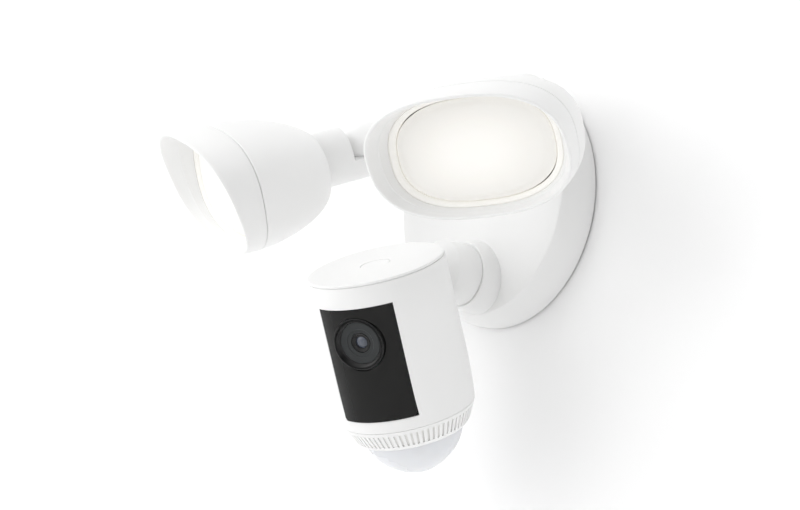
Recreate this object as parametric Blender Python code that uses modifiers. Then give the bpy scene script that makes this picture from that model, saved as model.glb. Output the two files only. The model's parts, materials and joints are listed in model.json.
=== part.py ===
"""A wall-mounted floodlight security camera, modelled as its separate parts.

The wall is the plane y = 0, the object stands out from it towards -Y, +X is to the right for
someone who faces the wall, and +Z is up. The origin is the middle of the base on the wall.

Every size below is in millimetres. The mesh helpers turn them into metres.
A local frame's Z axis is the axis that its part is built along, unless a comment says otherwise.
"""

import math

import bmesh
import bpy
from mathutils import Matrix, Vector

MM = 0.001
GAP = 0.3

# Wall base, turned about an axis square to the wall. Depths are distances from the wall.
BASE_REAR_R = 71.6
BASE_FACE_R = 67.1
BASE_FACE_DEPTH = 21.2
BASE_CROWN_DEPTH = 29.0
BASE_RIM_DEPTH = 2.5
BASE_WALL = 2.5
COVER_DEPTH = 3.8
COVER_THICKNESS = 2.0
COVER_R = 61.4
BRACKET_R = 52.0
BRACKET_THICKNESS = 2.4
BRACKET_TAB_R = 61.9
BRACKET_TAB_DEPTH = 14.0
WIRE_HOLE_UP = 26.0
WIRE_HOLE_R = 11.0
BOX_SCREW_X = 44.5
TOP_SCREW_DEPTH = 10.0
EARTH_SCREW_X = -22.0
EARTH_SCREW_Y = -26.0
BOARD_DEPTH = 11.0
BOARD_THICKNESS = 1.6

# Floodlight arms. ELBOW is the right elbow, and the left one is its mirror image.
ELBOW = Vector((66.4, -49.7, 37.5))
ARM_SPLAY = 55.8
ARM_LENGTH = 25.6
ARM_R = 15.2
ARM_BOSS_R = 16.5
ARM_BOSS_INNER_R = 9.5
ARM_BOSS_INNER_LENGTH = 36.0
SPIGOT_R = 6.3
SPIGOT_BORE_R = 4.3
SPIGOT_LENGTH = 38.8
SEAL_SEAT_R = 11.2
SEAL_SEAT_DEPTH = 1.9
LAP_GAP = 0.7
ELBOW_SCREW_R = 2.5

# Floodlight heads. Distances along a head are measured from its elbow.
NECK_R = 16.5
NECK_CUT = 17.2
HEAD_BACK = 34.5
HEAD_SEAM = 88.0
HOOD_MEAN = 15.9
HOOD_SLANT = 7.6
HEAD_HALF_WIDTH = 54.3
HEAD_HALF_HEIGHT = 34.6
HEAD_SQUARENESS = 2.53
WIDTH_FULLNESS = 2.15
HEIGHT_FULLNESS = 1.6
HEAD_WALL = 2.2
DIFFUSER_HALF_WIDTH = 42.4
DIFFUSER_HALF_HEIGHT = 27.0
TWIST_SPIGOT_R = 9.0
OVAL_POINTS = 28

# Directions in which the heads shine: yaw to +X, pitch down, and roll about the head's own axis.
HEAD_AIM = {"left": (-21.5, 20.6, 25.9), "right": (27.8, 31.2, -2.0)}

# Camera unit, turned about its own upright axis. Heights are measured down from its top.
PIVOT = Vector((0.0, -69.2, -46.0))
CAMERA_YAW = 21.7
CAMERA_PITCH = 28.9
CAMERA_R = 37.5
CAMERA_STANDOFF = 6.0
PIVOT_DROP = 15.3
SEAM_DROP = 82.5
SEAM_R = 36.2
TAPER_DROP = 58.0
GRILLE_DROP = 94.6
GRILLE_R = 29.5
GRILLE_SLOTS = 48
DOME_R = 27.5
DOME_TIP = 117.5
DOME_POINTEDNESS = 1.7
SHELL_WALL = 2.4
WINDOW_HALF_WIDTH = 21.4
WINDOW_TOP = 13.3
WINDOW_BOTTOM = 75.4
LENS_DROP = 32.3
LENS_SURROUND_R = 14.3
BUTTON_R = 8.0
COLLAR_REAR_R = 20.5
COLLAR_FRONT_R = 18.4
COLLAR_DEPTH = 35.0
COLLAR_REAR_DEPTH = 27.0
COLLAR_ROOT_DEPTH = 14.0
COLLAR_SEAT_R = 12.2
COLLAR_BORE_R = 8.8
CAMERA_NECK_R = 17.3
BALL_R = 9.5
LINER_R = 11.0
SOCKET_R = 13.5

# name: colour, roughness, metallic
LOOKS = {
    "white_plastic": ((0.90, 0.90, 0.89), 0.42, 0.0),
    "soft_white": ((0.86, 0.86, 0.84), 0.55, 0.0),
    "warm_diffuser": ((1.0, 0.97, 0.90), 0.35, 0.0),
    "dome_white": ((0.80, 0.83, 0.88), 0.30, 0.0),
    "black_gloss": ((0.012, 0.012, 0.014), 0.12, 0.0),
    "dark_grey": ((0.05, 0.05, 0.055), 0.45, 0.0),
    "glass": ((0.30, 0.32, 0.36), 0.05, 0.0),
    "black_rubber": ((0.03, 0.03, 0.03), 0.85, 0.0),
    "grey_rubber": ((0.35, 0.35, 0.36), 0.85, 0.0),
    "steel": ((0.62, 0.62, 0.64), 0.35, 1.0),
    "zinc": ((0.70, 0.71, 0.73), 0.45, 1.0),
    "aluminium": ((0.78, 0.79, 0.80), 0.40, 1.0),
    "brass": ((0.78, 0.60, 0.30), 0.35, 1.0),
    "circuit_green": ((0.03, 0.20, 0.10), 0.55, 0.0),
    "led_white": ((0.95, 0.92, 0.80), 0.50, 0.0),
    "potting_black": ((0.06, 0.06, 0.065), 0.60, 0.0),
}


# ---------------------------------------------------------------- scene helpers


def clear_scene():
    for obj in list(bpy.data.objects):
        bpy.data.objects.remove(obj, do_unlink=True)


def new_collection(name):
    collection = bpy.data.collections.new(name)
    bpy.context.scene.collection.children.link(collection)
    return collection


clear_scene()
PARTS = new_collection("floodlight_security_camera")
CUTTERS = new_collection("cutters")
CUTTERS.hide_render = True


def material(name, look):
    colour, roughness, metallic = LOOKS[look]
    made = bpy.data.materials.new(name)
    made.use_nodes = True
    shader = made.node_tree.nodes["Principled BSDF"]
    shader.inputs["Base Color"].default_value = (*colour, 1.0)
    shader.inputs["Roughness"].default_value = roughness
    shader.inputs["Metallic"].default_value = metallic
    made.diffuse_color = (*colour, 1.0)
    return made


def frame(origin, z_axis, y_hint):
    """A frame at origin (mm) whose Z axis is z_axis and whose Y axis is as near y_hint as it can be."""
    z = Vector(z_axis).normalized()
    x = Vector(y_hint).cross(z).normalized()
    y = z.cross(x)
    rows = Matrix((x, y, z)).transposed()
    return Matrix.Translation(Vector(origin) * MM) @ rows.to_4x4()


def shift(x=0.0, y=0.0, z=0.0):
    return Matrix.Translation(Vector((x, y, z)) * MM)


def turn(angle, axis):
    return Matrix.Rotation(math.radians(angle), 4, axis)


def joint_empty(name, place, parent=None):
    """An empty on a joint's axis. The pieces that the joint moves are its children."""
    empty = bpy.data.objects.new(name, None)
    empty.empty_display_size = 0.02
    PARTS.objects.link(empty)
    if parent is not None:
        empty.parent = parent
        empty.matrix_parent_inverse = parent.matrix_world.inverted()
    empty.matrix_world = place
    bpy.context.view_layer.update()
    return empty


def part(name, mesh, look, place, parent):
    """One physical piece, placed in world space and carried by the empty of its body."""
    obj = bpy.data.objects.new(name, mesh)
    PARTS.objects.link(obj)
    mesh.materials.append(material(name, look))
    obj.parent = parent
    obj.matrix_parent_inverse = parent.matrix_world.inverted()
    obj.matrix_world = place
    return obj


def cutter(name, mesh, place):
    obj = bpy.data.objects.new(name, mesh)
    CUTTERS.objects.link(obj)
    obj.matrix_world = place
    obj.hide_render = True
    obj.display_type = "WIRE"
    return obj


def boolean(obj, other, operation="DIFFERENCE"):
    modifier = obj.modifiers.new(other.name, "BOOLEAN")
    modifier.operation = operation
    modifier.object = other
    modifier.solver = "EXACT"


def cut(obj, mesh, place):
    boolean(obj, cutter(f"{obj.name}_cut_{len(obj.modifiers)}", mesh, place))


def join(obj, mesh, place):
    boolean(obj, cutter(f"{obj.name}_add_{len(obj.modifiers)}", mesh, place), "UNION")


# ---------------------------------------------------------------- mesh helpers


def finish_mesh(bm, name):
    bmesh.ops.recalc_face_normals(bm, faces=bm.faces)
    mesh = bpy.data.meshes.new(name)
    bm.to_mesh(mesh)
    bm.free()
    mesh.shade_smooth()
    mesh.set_sharp_from_angle(angle=math.radians(35))
    return mesh


def turned(name, profile, steps=40):
    """A (radius, height) profile turned about Z. It closes on itself unless it starts on the axis."""
    bm = bmesh.new()
    verts = [bm.verts.new((r * MM, 0.0, z * MM)) for r, z in profile]
    pairs = list(zip(verts, verts[1:]))
    if profile[0][0] > 0:
        pairs.append((verts[-1], verts[0]))
    for a, b in pairs:
        bm.edges.new((a, b))
    mesh = bpy.data.meshes.new(name)
    bm.to_mesh(mesh)
    bm.free()
    holder = bpy.data.objects.new(name, mesh)
    CUTTERS.objects.link(holder)
    screw = holder.modifiers.new("Turn", "SCREW")
    screw.steps = steps
    screw.render_steps = steps
    screw.use_merge_vertices = True
    screw.merge_threshold = 0.00001
    bpy.context.view_layer.update()
    graph = bpy.context.evaluated_depsgraph_get()
    made = bpy.data.meshes.new_from_object(holder.evaluated_get(graph))
    bpy.data.objects.remove(holder)
    made.name = name
    bm = bmesh.new()
    bm.from_mesh(made)
    bmesh.ops.remove_doubles(bm, verts=bm.verts, dist=0.000001)
    bpy.data.meshes.remove(made)
    return finish_mesh(bm, name)


def disc(name, radius, low, high, steps=32):
    """A round bar from height low to high."""
    bm = bmesh.new()
    place = shift(z=(low + high) / 2)
    bmesh.ops.create_cone(
        bm, cap_ends=True, segments=steps, radius1=radius * MM, radius2=radius * MM,
        depth=(high - low) * MM, matrix=place,
    )
    return finish_mesh(bm, name)


def ring(name, inner, outer, low, high, steps=32):
    profile = [(outer, high), (outer, low), (inner, low), (inner, high)]
    return turned(name, profile, steps)


def box(name, low, high, bevel=0.0):
    """A box between two corners, with its upright edges rounded where bevel is given."""
    size = [(b - a) * MM for a, b in zip(low, high)]
    middle = [(a + b) / 2 for a, b in zip(low, high)]
    bm = bmesh.new()
    bmesh.ops.create_cube(bm, size=1.0, matrix=shift(*middle) @ Matrix.Diagonal((*size, 1.0)))
    if bevel:
        upright = [e for e in bm.edges if abs((e.verts[0].co - e.verts[1].co).z) > 1e-7]
        bmesh.ops.bevel(bm, geom=upright, offset=bevel * MM, segments=3, affect="EDGES", profile=0.5)
    return finish_mesh(bm, name)


def oval(half_width, half_height, squareness=HEAD_SQUARENESS, count=OVAL_POINTS):
    """A superellipse: an ellipse at squareness 2, fuller at the corners above that."""
    points = []
    for i in range(count):
        angle = 2 * math.pi * (i + 0.5) / count
        c, s = math.cos(angle), math.sin(angle)
        x = math.copysign(abs(c) ** (2 / squareness), c)
        y = math.copysign(abs(s) ** (2 / squareness), s)
        points.append((half_width * x, half_height * y))
    return points


def section(outline, height, slant=0.0, half_height=1.0):
    """An outline lifted to a height, and more at its top than at its bottom by the slant."""
    return [(x, y, height + slant * y / half_height) for x, y in outline]


def loft(name, sections, close_loop=False):
    """Joins equal sections in order. It caps the first and last, or joins them where close_loop is set."""
    bm = bmesh.new()
    rows = [[bm.verts.new(Vector(p) * MM) for p in points] for points in sections]
    count = len(rows[0])
    pairs = list(zip(rows, rows[1:]))
    if close_loop:
        pairs.append((rows[-1], rows[0]))
    for lower, upper in pairs:
        for i in range(count):
            j = (i + 1) % count
            bm.faces.new((lower[i], lower[j], upper[j], upper[i]))
    if not close_loop:
        bm.faces.new(rows[0])
        bm.faces.new(rows[-1])
    return finish_mesh(bm, name)


def arc(centre_r, centre_z, radius, start, end, count):
    """Points on an arc in the (radius, height) plane, angles in degrees from +radius towards +height."""
    points = []
    for i in range(count):
        angle = math.radians(start + (end - start) * i / (count - 1))
        points.append((centre_r + radius * math.cos(angle), centre_z + radius * math.sin(angle)))
    return points


# ---------------------------------------------------------------- screws


def screw_mesh(name, head_r, head_height, shank_r, length):
    """A pan-head screw with its head above z = 0, its shank below, and a cross slot."""
    profile = [(0, head_height), (head_r * 0.6, head_height), (head_r, head_height * 0.55),
               (head_r, 0), (shank_r, 0), (shank_r, -length + shank_r * 0.6),
               (shank_r * 0.4, -length), (0, -length)]
    return turned(name, profile, 12)


def screw(name, place, parent, head_r=3.4, head_height=1.8, shank_r=1.8, length=8.0, look="steel"):
    obj = part(name, screw_mesh(name, head_r, head_height, shank_r, length), look, place, parent)
    slot_depth = head_height * 0.55
    arm = head_r * 0.62
    for angle in (0, 90):
        slot = box(f"{name}_slot", (-arm, -0.35, head_height - slot_depth), (arm, 0.35, head_height + 1))
        cut(obj, slot, place @ turn(angle, "Z"))
    return obj


# ---------------------------------------------------------------- directions


def head_axes(side):
    """(shine direction, lateral direction, up direction) of a head at rest."""
    yaw, pitch, roll = (math.radians(a) for a in HEAD_AIM[side])
    shine = Vector((math.sin(yaw) * math.cos(pitch), -math.cos(yaw) * math.cos(pitch), -math.sin(pitch)))
    lateral = Vector((math.cos(yaw), math.sin(yaw), 0.0))
    up = shine.cross(lateral)
    spun = Matrix.Rotation(-roll, 3, shine)
    return shine, spun @ lateral, spun @ up


def arm_axis(side):
    sign = -1 if side == "left" else 1
    splay = math.radians(ARM_SPLAY)
    return Vector((sign * math.sin(splay), -math.cos(splay), 0.0))


def elbow_point(side):
    sign = -1 if side == "left" else 1
    return Vector((sign * ELBOW.x, ELBOW.y, ELBOW.z))


def elbow_axis(side):
    """The elbow's axis, pointing to the side on which the arm's lug lies."""
    shine, _, _ = head_axes(side)
    axis = arm_axis(side).cross(shine).normalized()
    return axis if side == "left" else -axis


def arm_frame(side):
    """Origin on the boss's face, Z along the arm, Y along the elbow's axis."""
    origin = elbow_point(side) - arm_axis(side) * ARM_LENGTH
    return frame(origin, arm_axis(side), elbow_axis(side))


def neck_frame(side):
    """Origin at the elbow, Z along the neck, Y along the elbow's axis."""
    shine, _, _ = head_axes(side)
    return frame(elbow_point(side), shine, elbow_axis(side))


def head_frame(side):
    """Origin at the elbow, Z where the head shines, X across its width."""
    shine, _, up = head_axes(side)
    return frame(elbow_point(side), shine, up)


def camera_frame():
    """Origin at the middle of the camera's top, Z up its axis, -Y to its front."""
    yaw, pitch = math.radians(CAMERA_YAW), math.radians(CAMERA_PITCH)
    front = Vector((math.sin(yaw) * math.cos(pitch), -math.cos(yaw) * math.cos(pitch), -math.sin(pitch)))
    up = Vector((math.sin(yaw) * math.sin(pitch), -math.cos(yaw) * math.sin(pitch), math.cos(pitch)))
    top = PIVOT + front * (CAMERA_R + CAMERA_STANDOFF) + up * PIVOT_DROP
    return frame(top, up, -front)


BASE = frame((0, 0, 0), (0, -1, 0), (0, 0, 1))


# ---------------------------------------------------------------- wall base


def base_profile(inset, shares):
    """The base from crown to rear rim, moved in by inset, with a point at each share of the face."""
    reach = BASE_FACE_R - inset
    crown = BASE_CROWN_DEPTH - inset
    drop = BASE_CROWN_DEPTH - BASE_FACE_DEPTH
    face = []
    for share in shares:
        r = reach * share
        face.append((r, crown - drop * (r / BASE_FACE_R) ** 2))
    edge = BASE_FACE_DEPTH - inset
    side = [(reach, edge - 0.7), (BASE_REAR_R - inset - 1.2, 9.0), (BASE_REAR_R - inset, BASE_RIM_DEPTH)]
    return face + side


def build_base():
    root = joint_empty("base_root", Matrix.Identity(4))

    outer = base_profile(0.0, (0.0, 0.3, 0.52, 0.7, 0.86, 0.985))
    inner = base_profile(BASE_WALL, (0.0, 0.7))
    skin = turned("base_housing", outer + inner[::-1], 48)
    housing = part("base_housing", skin, "white_plastic", BASE, root)
    collar_place = BASE @ shift(PIVOT.x, PIVOT.z, 0)
    collar = turned("camera_collar_boss", [(0, COLLAR_DEPTH), (COLLAR_FRONT_R - 0.6, COLLAR_DEPTH),
                                           (COLLAR_FRONT_R, COLLAR_DEPTH - 0.6),
                                           (COLLAR_REAR_R, COLLAR_REAR_DEPTH),
                                           (COLLAR_REAR_R, COLLAR_ROOT_DEPTH), (0, COLLAR_ROOT_DEPTH)], 28)
    join(housing, collar, collar_place)
    for side in ("left", "right"):
        place = arm_frame(side)
        boss = turned("arm_boss", [(0, 0), (ARM_BOSS_R - 0.8, 0), (ARM_BOSS_R, -0.8), (ARM_BOSS_R, -5.0),
                                   (15.6, -12.0), (13.2, -20.0), (ARM_BOSS_INNER_R, -30.0),
                                   (ARM_BOSS_INNER_R, -ARM_BOSS_INNER_LENGTH),
                                   (0, -ARM_BOSS_INNER_LENGTH)], 24)
        join(housing, boss, place)
    for side in ("left", "right"):
        place = arm_frame(side)
        end = -ARM_BOSS_INNER_LENGTH - 4
        bore = turned("arm_bore", [(0, 2), (SEAL_SEAT_R, 2), (SEAL_SEAT_R, -SEAL_SEAT_DEPTH),
                                   (SPIGOT_R + GAP, -SEAL_SEAT_DEPTH), (SPIGOT_R + GAP, end), (0, end)], 20)
        cut(housing, bore, place)
    seat = COLLAR_DEPTH - SEAL_SEAT_DEPTH
    mouth = COLLAR_DEPTH + 2
    neck_bore = turned("neck_bore", [(0, mouth), (COLLAR_SEAT_R, mouth), (COLLAR_SEAT_R, seat),
                                     (COLLAR_BORE_R, seat), (COLLAR_BORE_R, 10), (0, 10)], 20)
    cut(housing, neck_bore, collar_place)
    top_screw = BASE @ shift(z=TOP_SCREW_DEPTH) @ turn(-90, "X")
    cut(housing, disc("top_screw_pocket", 3.8, 68.4, 75, 16), top_screw)
    cut(housing, disc("top_screw_hole", 2.2, 60, 75, 12), top_screw)

    bracket_plate = disc("wall_bracket", BRACKET_R, 0, BRACKET_THICKNESS, 36)
    bracket = part("wall_bracket", bracket_plate, "zinc", BASE, root)
    reach = BRACKET_TAB_R + 2
    join(bracket, box("bracket_bar", (-8, -reach, 0), (8, reach, BRACKET_THICKNESS)), BASE)
    for sign in (-1, 1):
        near, far = sorted((sign * BRACKET_TAB_R, sign * reach))
        join(bracket, box("bracket_tab", (-7, near, 1.0), (7, far, BRACKET_TAB_DEPTH)), BASE)
        x = BOX_SCREW_X * sign
        cut(bracket, box("box_screw_slot", (x - 2.3, -6, -2), (x + 2.3, 6, 6), 2.2), BASE)
    cut(bracket, disc("top_screw_thread", 2.1, 60, 70, 12), top_screw)
    cut(bracket, disc("bracket_wire_hole", WIRE_HOLE_R, -2, 6, 20), BASE @ shift(y=WIRE_HOLE_UP))
    cut(bracket, disc("earth_hole", 1.9, -2, 6, 12), BASE @ shift(EARTH_SCREW_X, EARTH_SCREW_Y, 0))

    for sign, side in ((-1, "left"), (1, "right")):
        screw(f"bracket_screw_{side}", BASE @ shift(x=BOX_SCREW_X * sign, z=BRACKET_THICKNESS + GAP),
              root, head_r=4.0, head_height=1.0, shank_r=1.9, length=2.4)
    screw("housing_screw", top_screw @ shift(z=68.7), root,
          head_r=3.3, head_height=1.2, shank_r=1.75, length=7.0)
    screw("earth_screw", BASE @ shift(EARTH_SCREW_X, EARTH_SCREW_Y, BRACKET_THICKNESS + GAP), root,
          head_r=3.2, head_height=0.9, shank_r=1.5, length=2.4, look="brass")

    gasket = ring("wall_gasket", 66.9, 70.2, 0, BASE_RIM_DEPTH - GAP, 40)
    part("wall_gasket", gasket, "grey_rubber", BASE, root)

    plate = disc("rear_cover", COVER_R, COVER_DEPTH, COVER_DEPTH + COVER_THICKNESS, 36)
    cover = part("rear_cover", plate, "soft_white", BASE, root)
    cut(cover, disc("cover_wire_hole", WIRE_HOLE_R - 3, 0, 9, 20), BASE @ shift(y=WIRE_HOLE_UP))
    flange_r = WIRE_HOLE_R - 1.5
    grommet = turned("wire_grommet", [(flange_r, COVER_DEPTH - GAP), (flange_r, 1.6), (5.5, 1.6),
                                      (5.5, 8.2), (7.6, 8.2), (7.6, COVER_DEPTH - GAP)], 20)
    part("wire_grommet", grommet, "black_rubber", BASE @ shift(y=WIRE_HOLE_UP), root)

    top = BOARD_DEPTH + BOARD_THICKNESS
    board_plate = box("power_board", (-34, -23, BOARD_DEPTH), (34, 13, top), 2.0)
    board = part("power_board", board_plate, "circuit_green", BASE, root)
    for x, y in ((-30, -19), (30, 9)):
        cut(board, disc("board_mount_hole", 1.6, BOARD_DEPTH - 3, top + 3, 16), BASE @ shift(x, y, 0))
    transformer = box("driver_transformer", (-28, -18, top + GAP), (-4, 8, 22.0), 2.0)
    part("driver_transformer", transformer, "potting_black", BASE, root)
    terminals = box("terminal_block", (4, -16, top + GAP), (28, -4, 21.5), 1.0)
    part("terminal_block", terminals, "soft_white", BASE, root)
    return root


# ---------------------------------------------------------------- floodlight arms and necks


def build_arm(side, root):
    """The arm turns in the base about its own axis and ends in the upper half of the elbow's lap."""
    place = arm_frame(side)
    empty = joint_empty(f"{side}_arm_swivel", place, root)
    name = f"{side}_arm"
    capsule = [(0, ARM_LENGTH + ARM_R)] + arc(0, ARM_LENGTH, ARM_R, 76, 0, 6)
    capsule += [(ARM_R, 1.3), (ARM_R - 0.8, GAP), (SPIGOT_R, GAP), (SPIGOT_R, -SPIGOT_LENGTH),
                (SPIGOT_BORE_R, -SPIGOT_LENGTH), (SPIGOT_BORE_R, 8.0), (0, 8.0)]
    arm = part(name, turned(name, capsule, 28), "white_plastic", place, empty)
    far = ARM_LENGTH + ARM_R + 4
    step = ARM_LENGTH - NECK_CUT
    cut(arm, box("arm_lap", (-20, -20, step), (20, LAP_GAP, far)), place)
    elbow = place @ shift(z=ARM_LENGTH) @ turn(-90, "X")
    cut(arm, disc("elbow_thread", ELBOW_SCREW_R + GAP, -2, 9.5, 12), elbow)
    washer = ring(f"{side}_elbow_washer", ELBOW_SCREW_R + GAP, 9.0, -0.4, 0.4, 16)
    part(f"{side}_elbow_washer", washer, "black_rubber", elbow, empty)
    seal = ring(f"{side}_arm_seal", SPIGOT_R + GAP, SEAL_SEAT_R - 0.6, GAP - SEAL_SEAT_DEPTH, 0.0, 16)
    part(f"{side}_arm_seal", seal, "black_rubber", place, empty)
    nut_bore = SPIGOT_R + 2 * GAP
    nut_face = -ARM_BOSS_INNER_LENGTH - GAP
    nut = turned(f"{side}_arm_nut", [(9.0, nut_face), (9.0, -SPIGOT_LENGTH),
                                     (nut_bore, -SPIGOT_LENGTH), (nut_bore, nut_face)], 12)
    part(f"{side}_arm_nut", nut, "brass", place, empty)
    return empty


def build_neck(side, arm_empty):
    """The neck bends on the elbow and carries the head on a spigot that the head can twist on."""
    place = neck_frame(side)
    axis = place @ turn(-90, "X")
    empty = joint_empty(f"{side}_elbow", axis, arm_empty)
    name = f"{side}_neck"
    end = HEAD_BACK - GAP
    tail = HEAD_BACK + HEAD_WALL + 4.5
    profile = [(0, tail), (TWIST_SPIGOT_R, tail), (TWIST_SPIGOT_R, end)]
    profile += [(NECK_R - 0.5, end), (NECK_R, end - 0.5)]
    profile += arc(0, 0, NECK_R, 0, -76, 6) + [(0, -NECK_R)]
    neck = part(name, turned(name, profile, 28), "white_plastic", place, empty)
    cut(neck, box("neck_lap", (-20, -LAP_GAP, -20), (20, 20, NECK_CUT)), place)
    cut(neck, disc("elbow_hole", ELBOW_SCREW_R + GAP, -30, 2, 12), axis)
    cut(neck, disc("elbow_pocket", 5.2, -30, -11.4, 16), axis)
    screw(f"{side}_elbow_screw", axis @ turn(180, "X") @ shift(z=11.8), empty, head_r=4.6, head_height=2.2,
          shank_r=ELBOW_SCREW_R, length=20.0)
    cut(neck, disc("neck_wire_way", 5.0, NECK_CUT + 4, tail + 4, 16), place)
    return empty


# ---------------------------------------------------------------- floodlight heads


def head_growth(share, fullness):
    """How far the housing has opened, from 0 at its back to 1 at the seam."""
    return (1 - (1 - share) ** fullness) ** (1 / fullness)


def housing_sections(inset, shares):
    """Ovals from the back of the head housing to the seam, moved in by inset."""
    sections = []
    for share in shares:
        opened = head_growth(share, WIDTH_FULLNESS)
        width = NECK_R + (HEAD_HALF_WIDTH - NECK_R) * opened - inset
        height = NECK_R + (HEAD_HALF_HEIGHT - NECK_R) * head_growth(share, HEIGHT_FULLNESS) - inset
        squareness = 2 + (HEAD_SQUARENESS - 2) * opened
        along = HEAD_BACK + (HEAD_SEAM - HEAD_BACK - GAP) * share + inset * (1 - share)
        sections.append(section(oval(width, height, squareness), along))
    return sections


def build_head(side, neck_empty):
    place = head_frame(side)
    empty = joint_empty(f"{side}_head_twist", place, neck_empty)
    hole = oval(TWIST_SPIGOT_R + GAP, TWIST_SPIGOT_R + GAP, 2)

    name = f"{side}_head_housing"
    outside = housing_sections(0.0, (0.0, 0.03, 0.1, 0.2, 0.35, 0.55, 0.77, 1.0))
    inside = housing_sections(HEAD_WALL, (0.0, 0.1, 0.35, 1.0))
    sections = [section(hole, HEAD_BACK)] + outside + inside[::-1]
    sections.append(section(hole, HEAD_BACK + HEAD_WALL))
    part(name, loft(name, sections, close_loop=True), "white_plastic", place, empty)

    name = f"{side}_hood"
    rim = HEAD_SEAM + HOOD_MEAN
    lip = 1.0
    sections = [
        section(oval(HEAD_HALF_WIDTH - 6.0, HEAD_HALF_HEIGHT - 4.6), HEAD_SEAM),
        section(oval(HEAD_HALF_WIDTH - 0.5, HEAD_HALF_HEIGHT - 0.5), HEAD_SEAM),
        section(oval(HEAD_HALF_WIDTH, HEAD_HALF_HEIGHT), HEAD_SEAM + 0.5),
        section(oval(HEAD_HALF_WIDTH, HEAD_HALF_HEIGHT), rim - lip, HOOD_SLANT, HEAD_HALF_HEIGHT),
        section(oval(HEAD_HALF_WIDTH - 0.8, HEAD_HALF_HEIGHT - 0.8), rim, HOOD_SLANT, HEAD_HALF_HEIGHT),
        section(oval(HEAD_HALF_WIDTH - 3.0, HEAD_HALF_HEIGHT - 2.4), rim - 0.6, HOOD_SLANT,
                HEAD_HALF_HEIGHT),
        section(oval(HEAD_HALF_WIDTH - 7.6, HEAD_HALF_HEIGHT - 4.6), HEAD_SEAM + 2.0),
    ]
    part(name, loft(name, sections, close_loop=True), "white_plastic", place, empty)

    name = f"{side}_diffuser_frame"
    sections = [
        section(oval(HEAD_HALF_WIDTH - 8.4, HEAD_HALF_HEIGHT - 5.2), HEAD_SEAM + 1.8),
        section(oval(DIFFUSER_HALF_WIDTH + 0.6, DIFFUSER_HALF_HEIGHT + 0.6), HEAD_SEAM + 1.0),
        section(oval(DIFFUSER_HALF_WIDTH + 0.6, DIFFUSER_HALF_HEIGHT + 0.6), HEAD_SEAM - 3.4),
        section(oval(HEAD_HALF_WIDTH - 6.6, HEAD_HALF_HEIGHT - 5.2), HEAD_SEAM - 3.4),
        section(oval(HEAD_HALF_WIDTH - 6.6, HEAD_HALF_HEIGHT - 5.2), HEAD_SEAM - 0.4),
    ]
    part(name, loft(name, sections, close_loop=True), "soft_white", place, empty)

    name = f"{side}_diffuser"
    sections = [section(oval(DIFFUSER_HALF_WIDTH, DIFFUSER_HALF_HEIGHT), HEAD_SEAM - 2.6)]
    crown, steps = 3.4, 4
    for i in range(steps + 1):
        out = math.radians(90 * i / (steps + 0.6))
        shrink = math.cos(out)
        rise = crown * math.sin(out)
        step = oval(DIFFUSER_HALF_WIDTH * shrink, DIFFUSER_HALF_HEIGHT * shrink)
        sections.append(section(step, HEAD_SEAM + rise))
    part(name, loft(name, sections), "warm_diffuser", place, empty)

    name = f"{side}_head_seal"
    sections = [
        section(oval(HEAD_HALF_WIDTH - 3.4, HEAD_HALF_HEIGHT - 3.2), HEAD_SEAM - GAP),
        section(oval(HEAD_HALF_WIDTH - 6.0, HEAD_HALF_HEIGHT - 4.8), HEAD_SEAM - GAP),
        section(oval(HEAD_HALF_WIDTH - 6.0, HEAD_HALF_HEIGHT - 4.8), HEAD_SEAM - 2.6),
        section(oval(HEAD_HALF_WIDTH - 3.4, HEAD_HALF_HEIGHT - 3.2), HEAD_SEAM - 2.6),
    ]
    part(name, loft(name, sections, close_loop=True), "black_rubber", place, empty)

    name = f"{side}_light_board"
    plate = oval(40.0, 24.0)
    sections = [section(plate, HEAD_SEAM - 9.0), section(plate, HEAD_SEAM - 7.4)]
    board = part(name, loft(name, sections), "led_white", place, empty)
    for column in (-24, 0, 24):
        chip = box("light_chip", (column - 5, -5, HEAD_SEAM - 8), (column + 5, 5, HEAD_SEAM - 6.2))
        join(board, chip, place)

    name = f"{side}_heat_sink"
    plate = oval(39.0, 23.0)
    sections = [section(plate, HEAD_SEAM - 13.0), section(plate, HEAD_SEAM - 9.3)]
    sink = part(name, loft(name, sections), "aluminium", place, empty)
    for column in (-24, -16, -8, 0, 8, 16, 24):
        fin = box("sink_fin", (column - 0.9, -15, HEAD_SEAM - 24), (column + 0.9, 15, HEAD_SEAM - 11))
        join(sink, fin, place)

    low = HEAD_BACK + HEAD_WALL + GAP
    name = f"{side}_twist_clip"
    part(name, ring(name, TWIST_SPIGOT_R + GAP, 13.0, low, low + 2.0, 16), "steel", place, empty)
    return empty


# ---------------------------------------------------------------- camera mount


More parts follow.
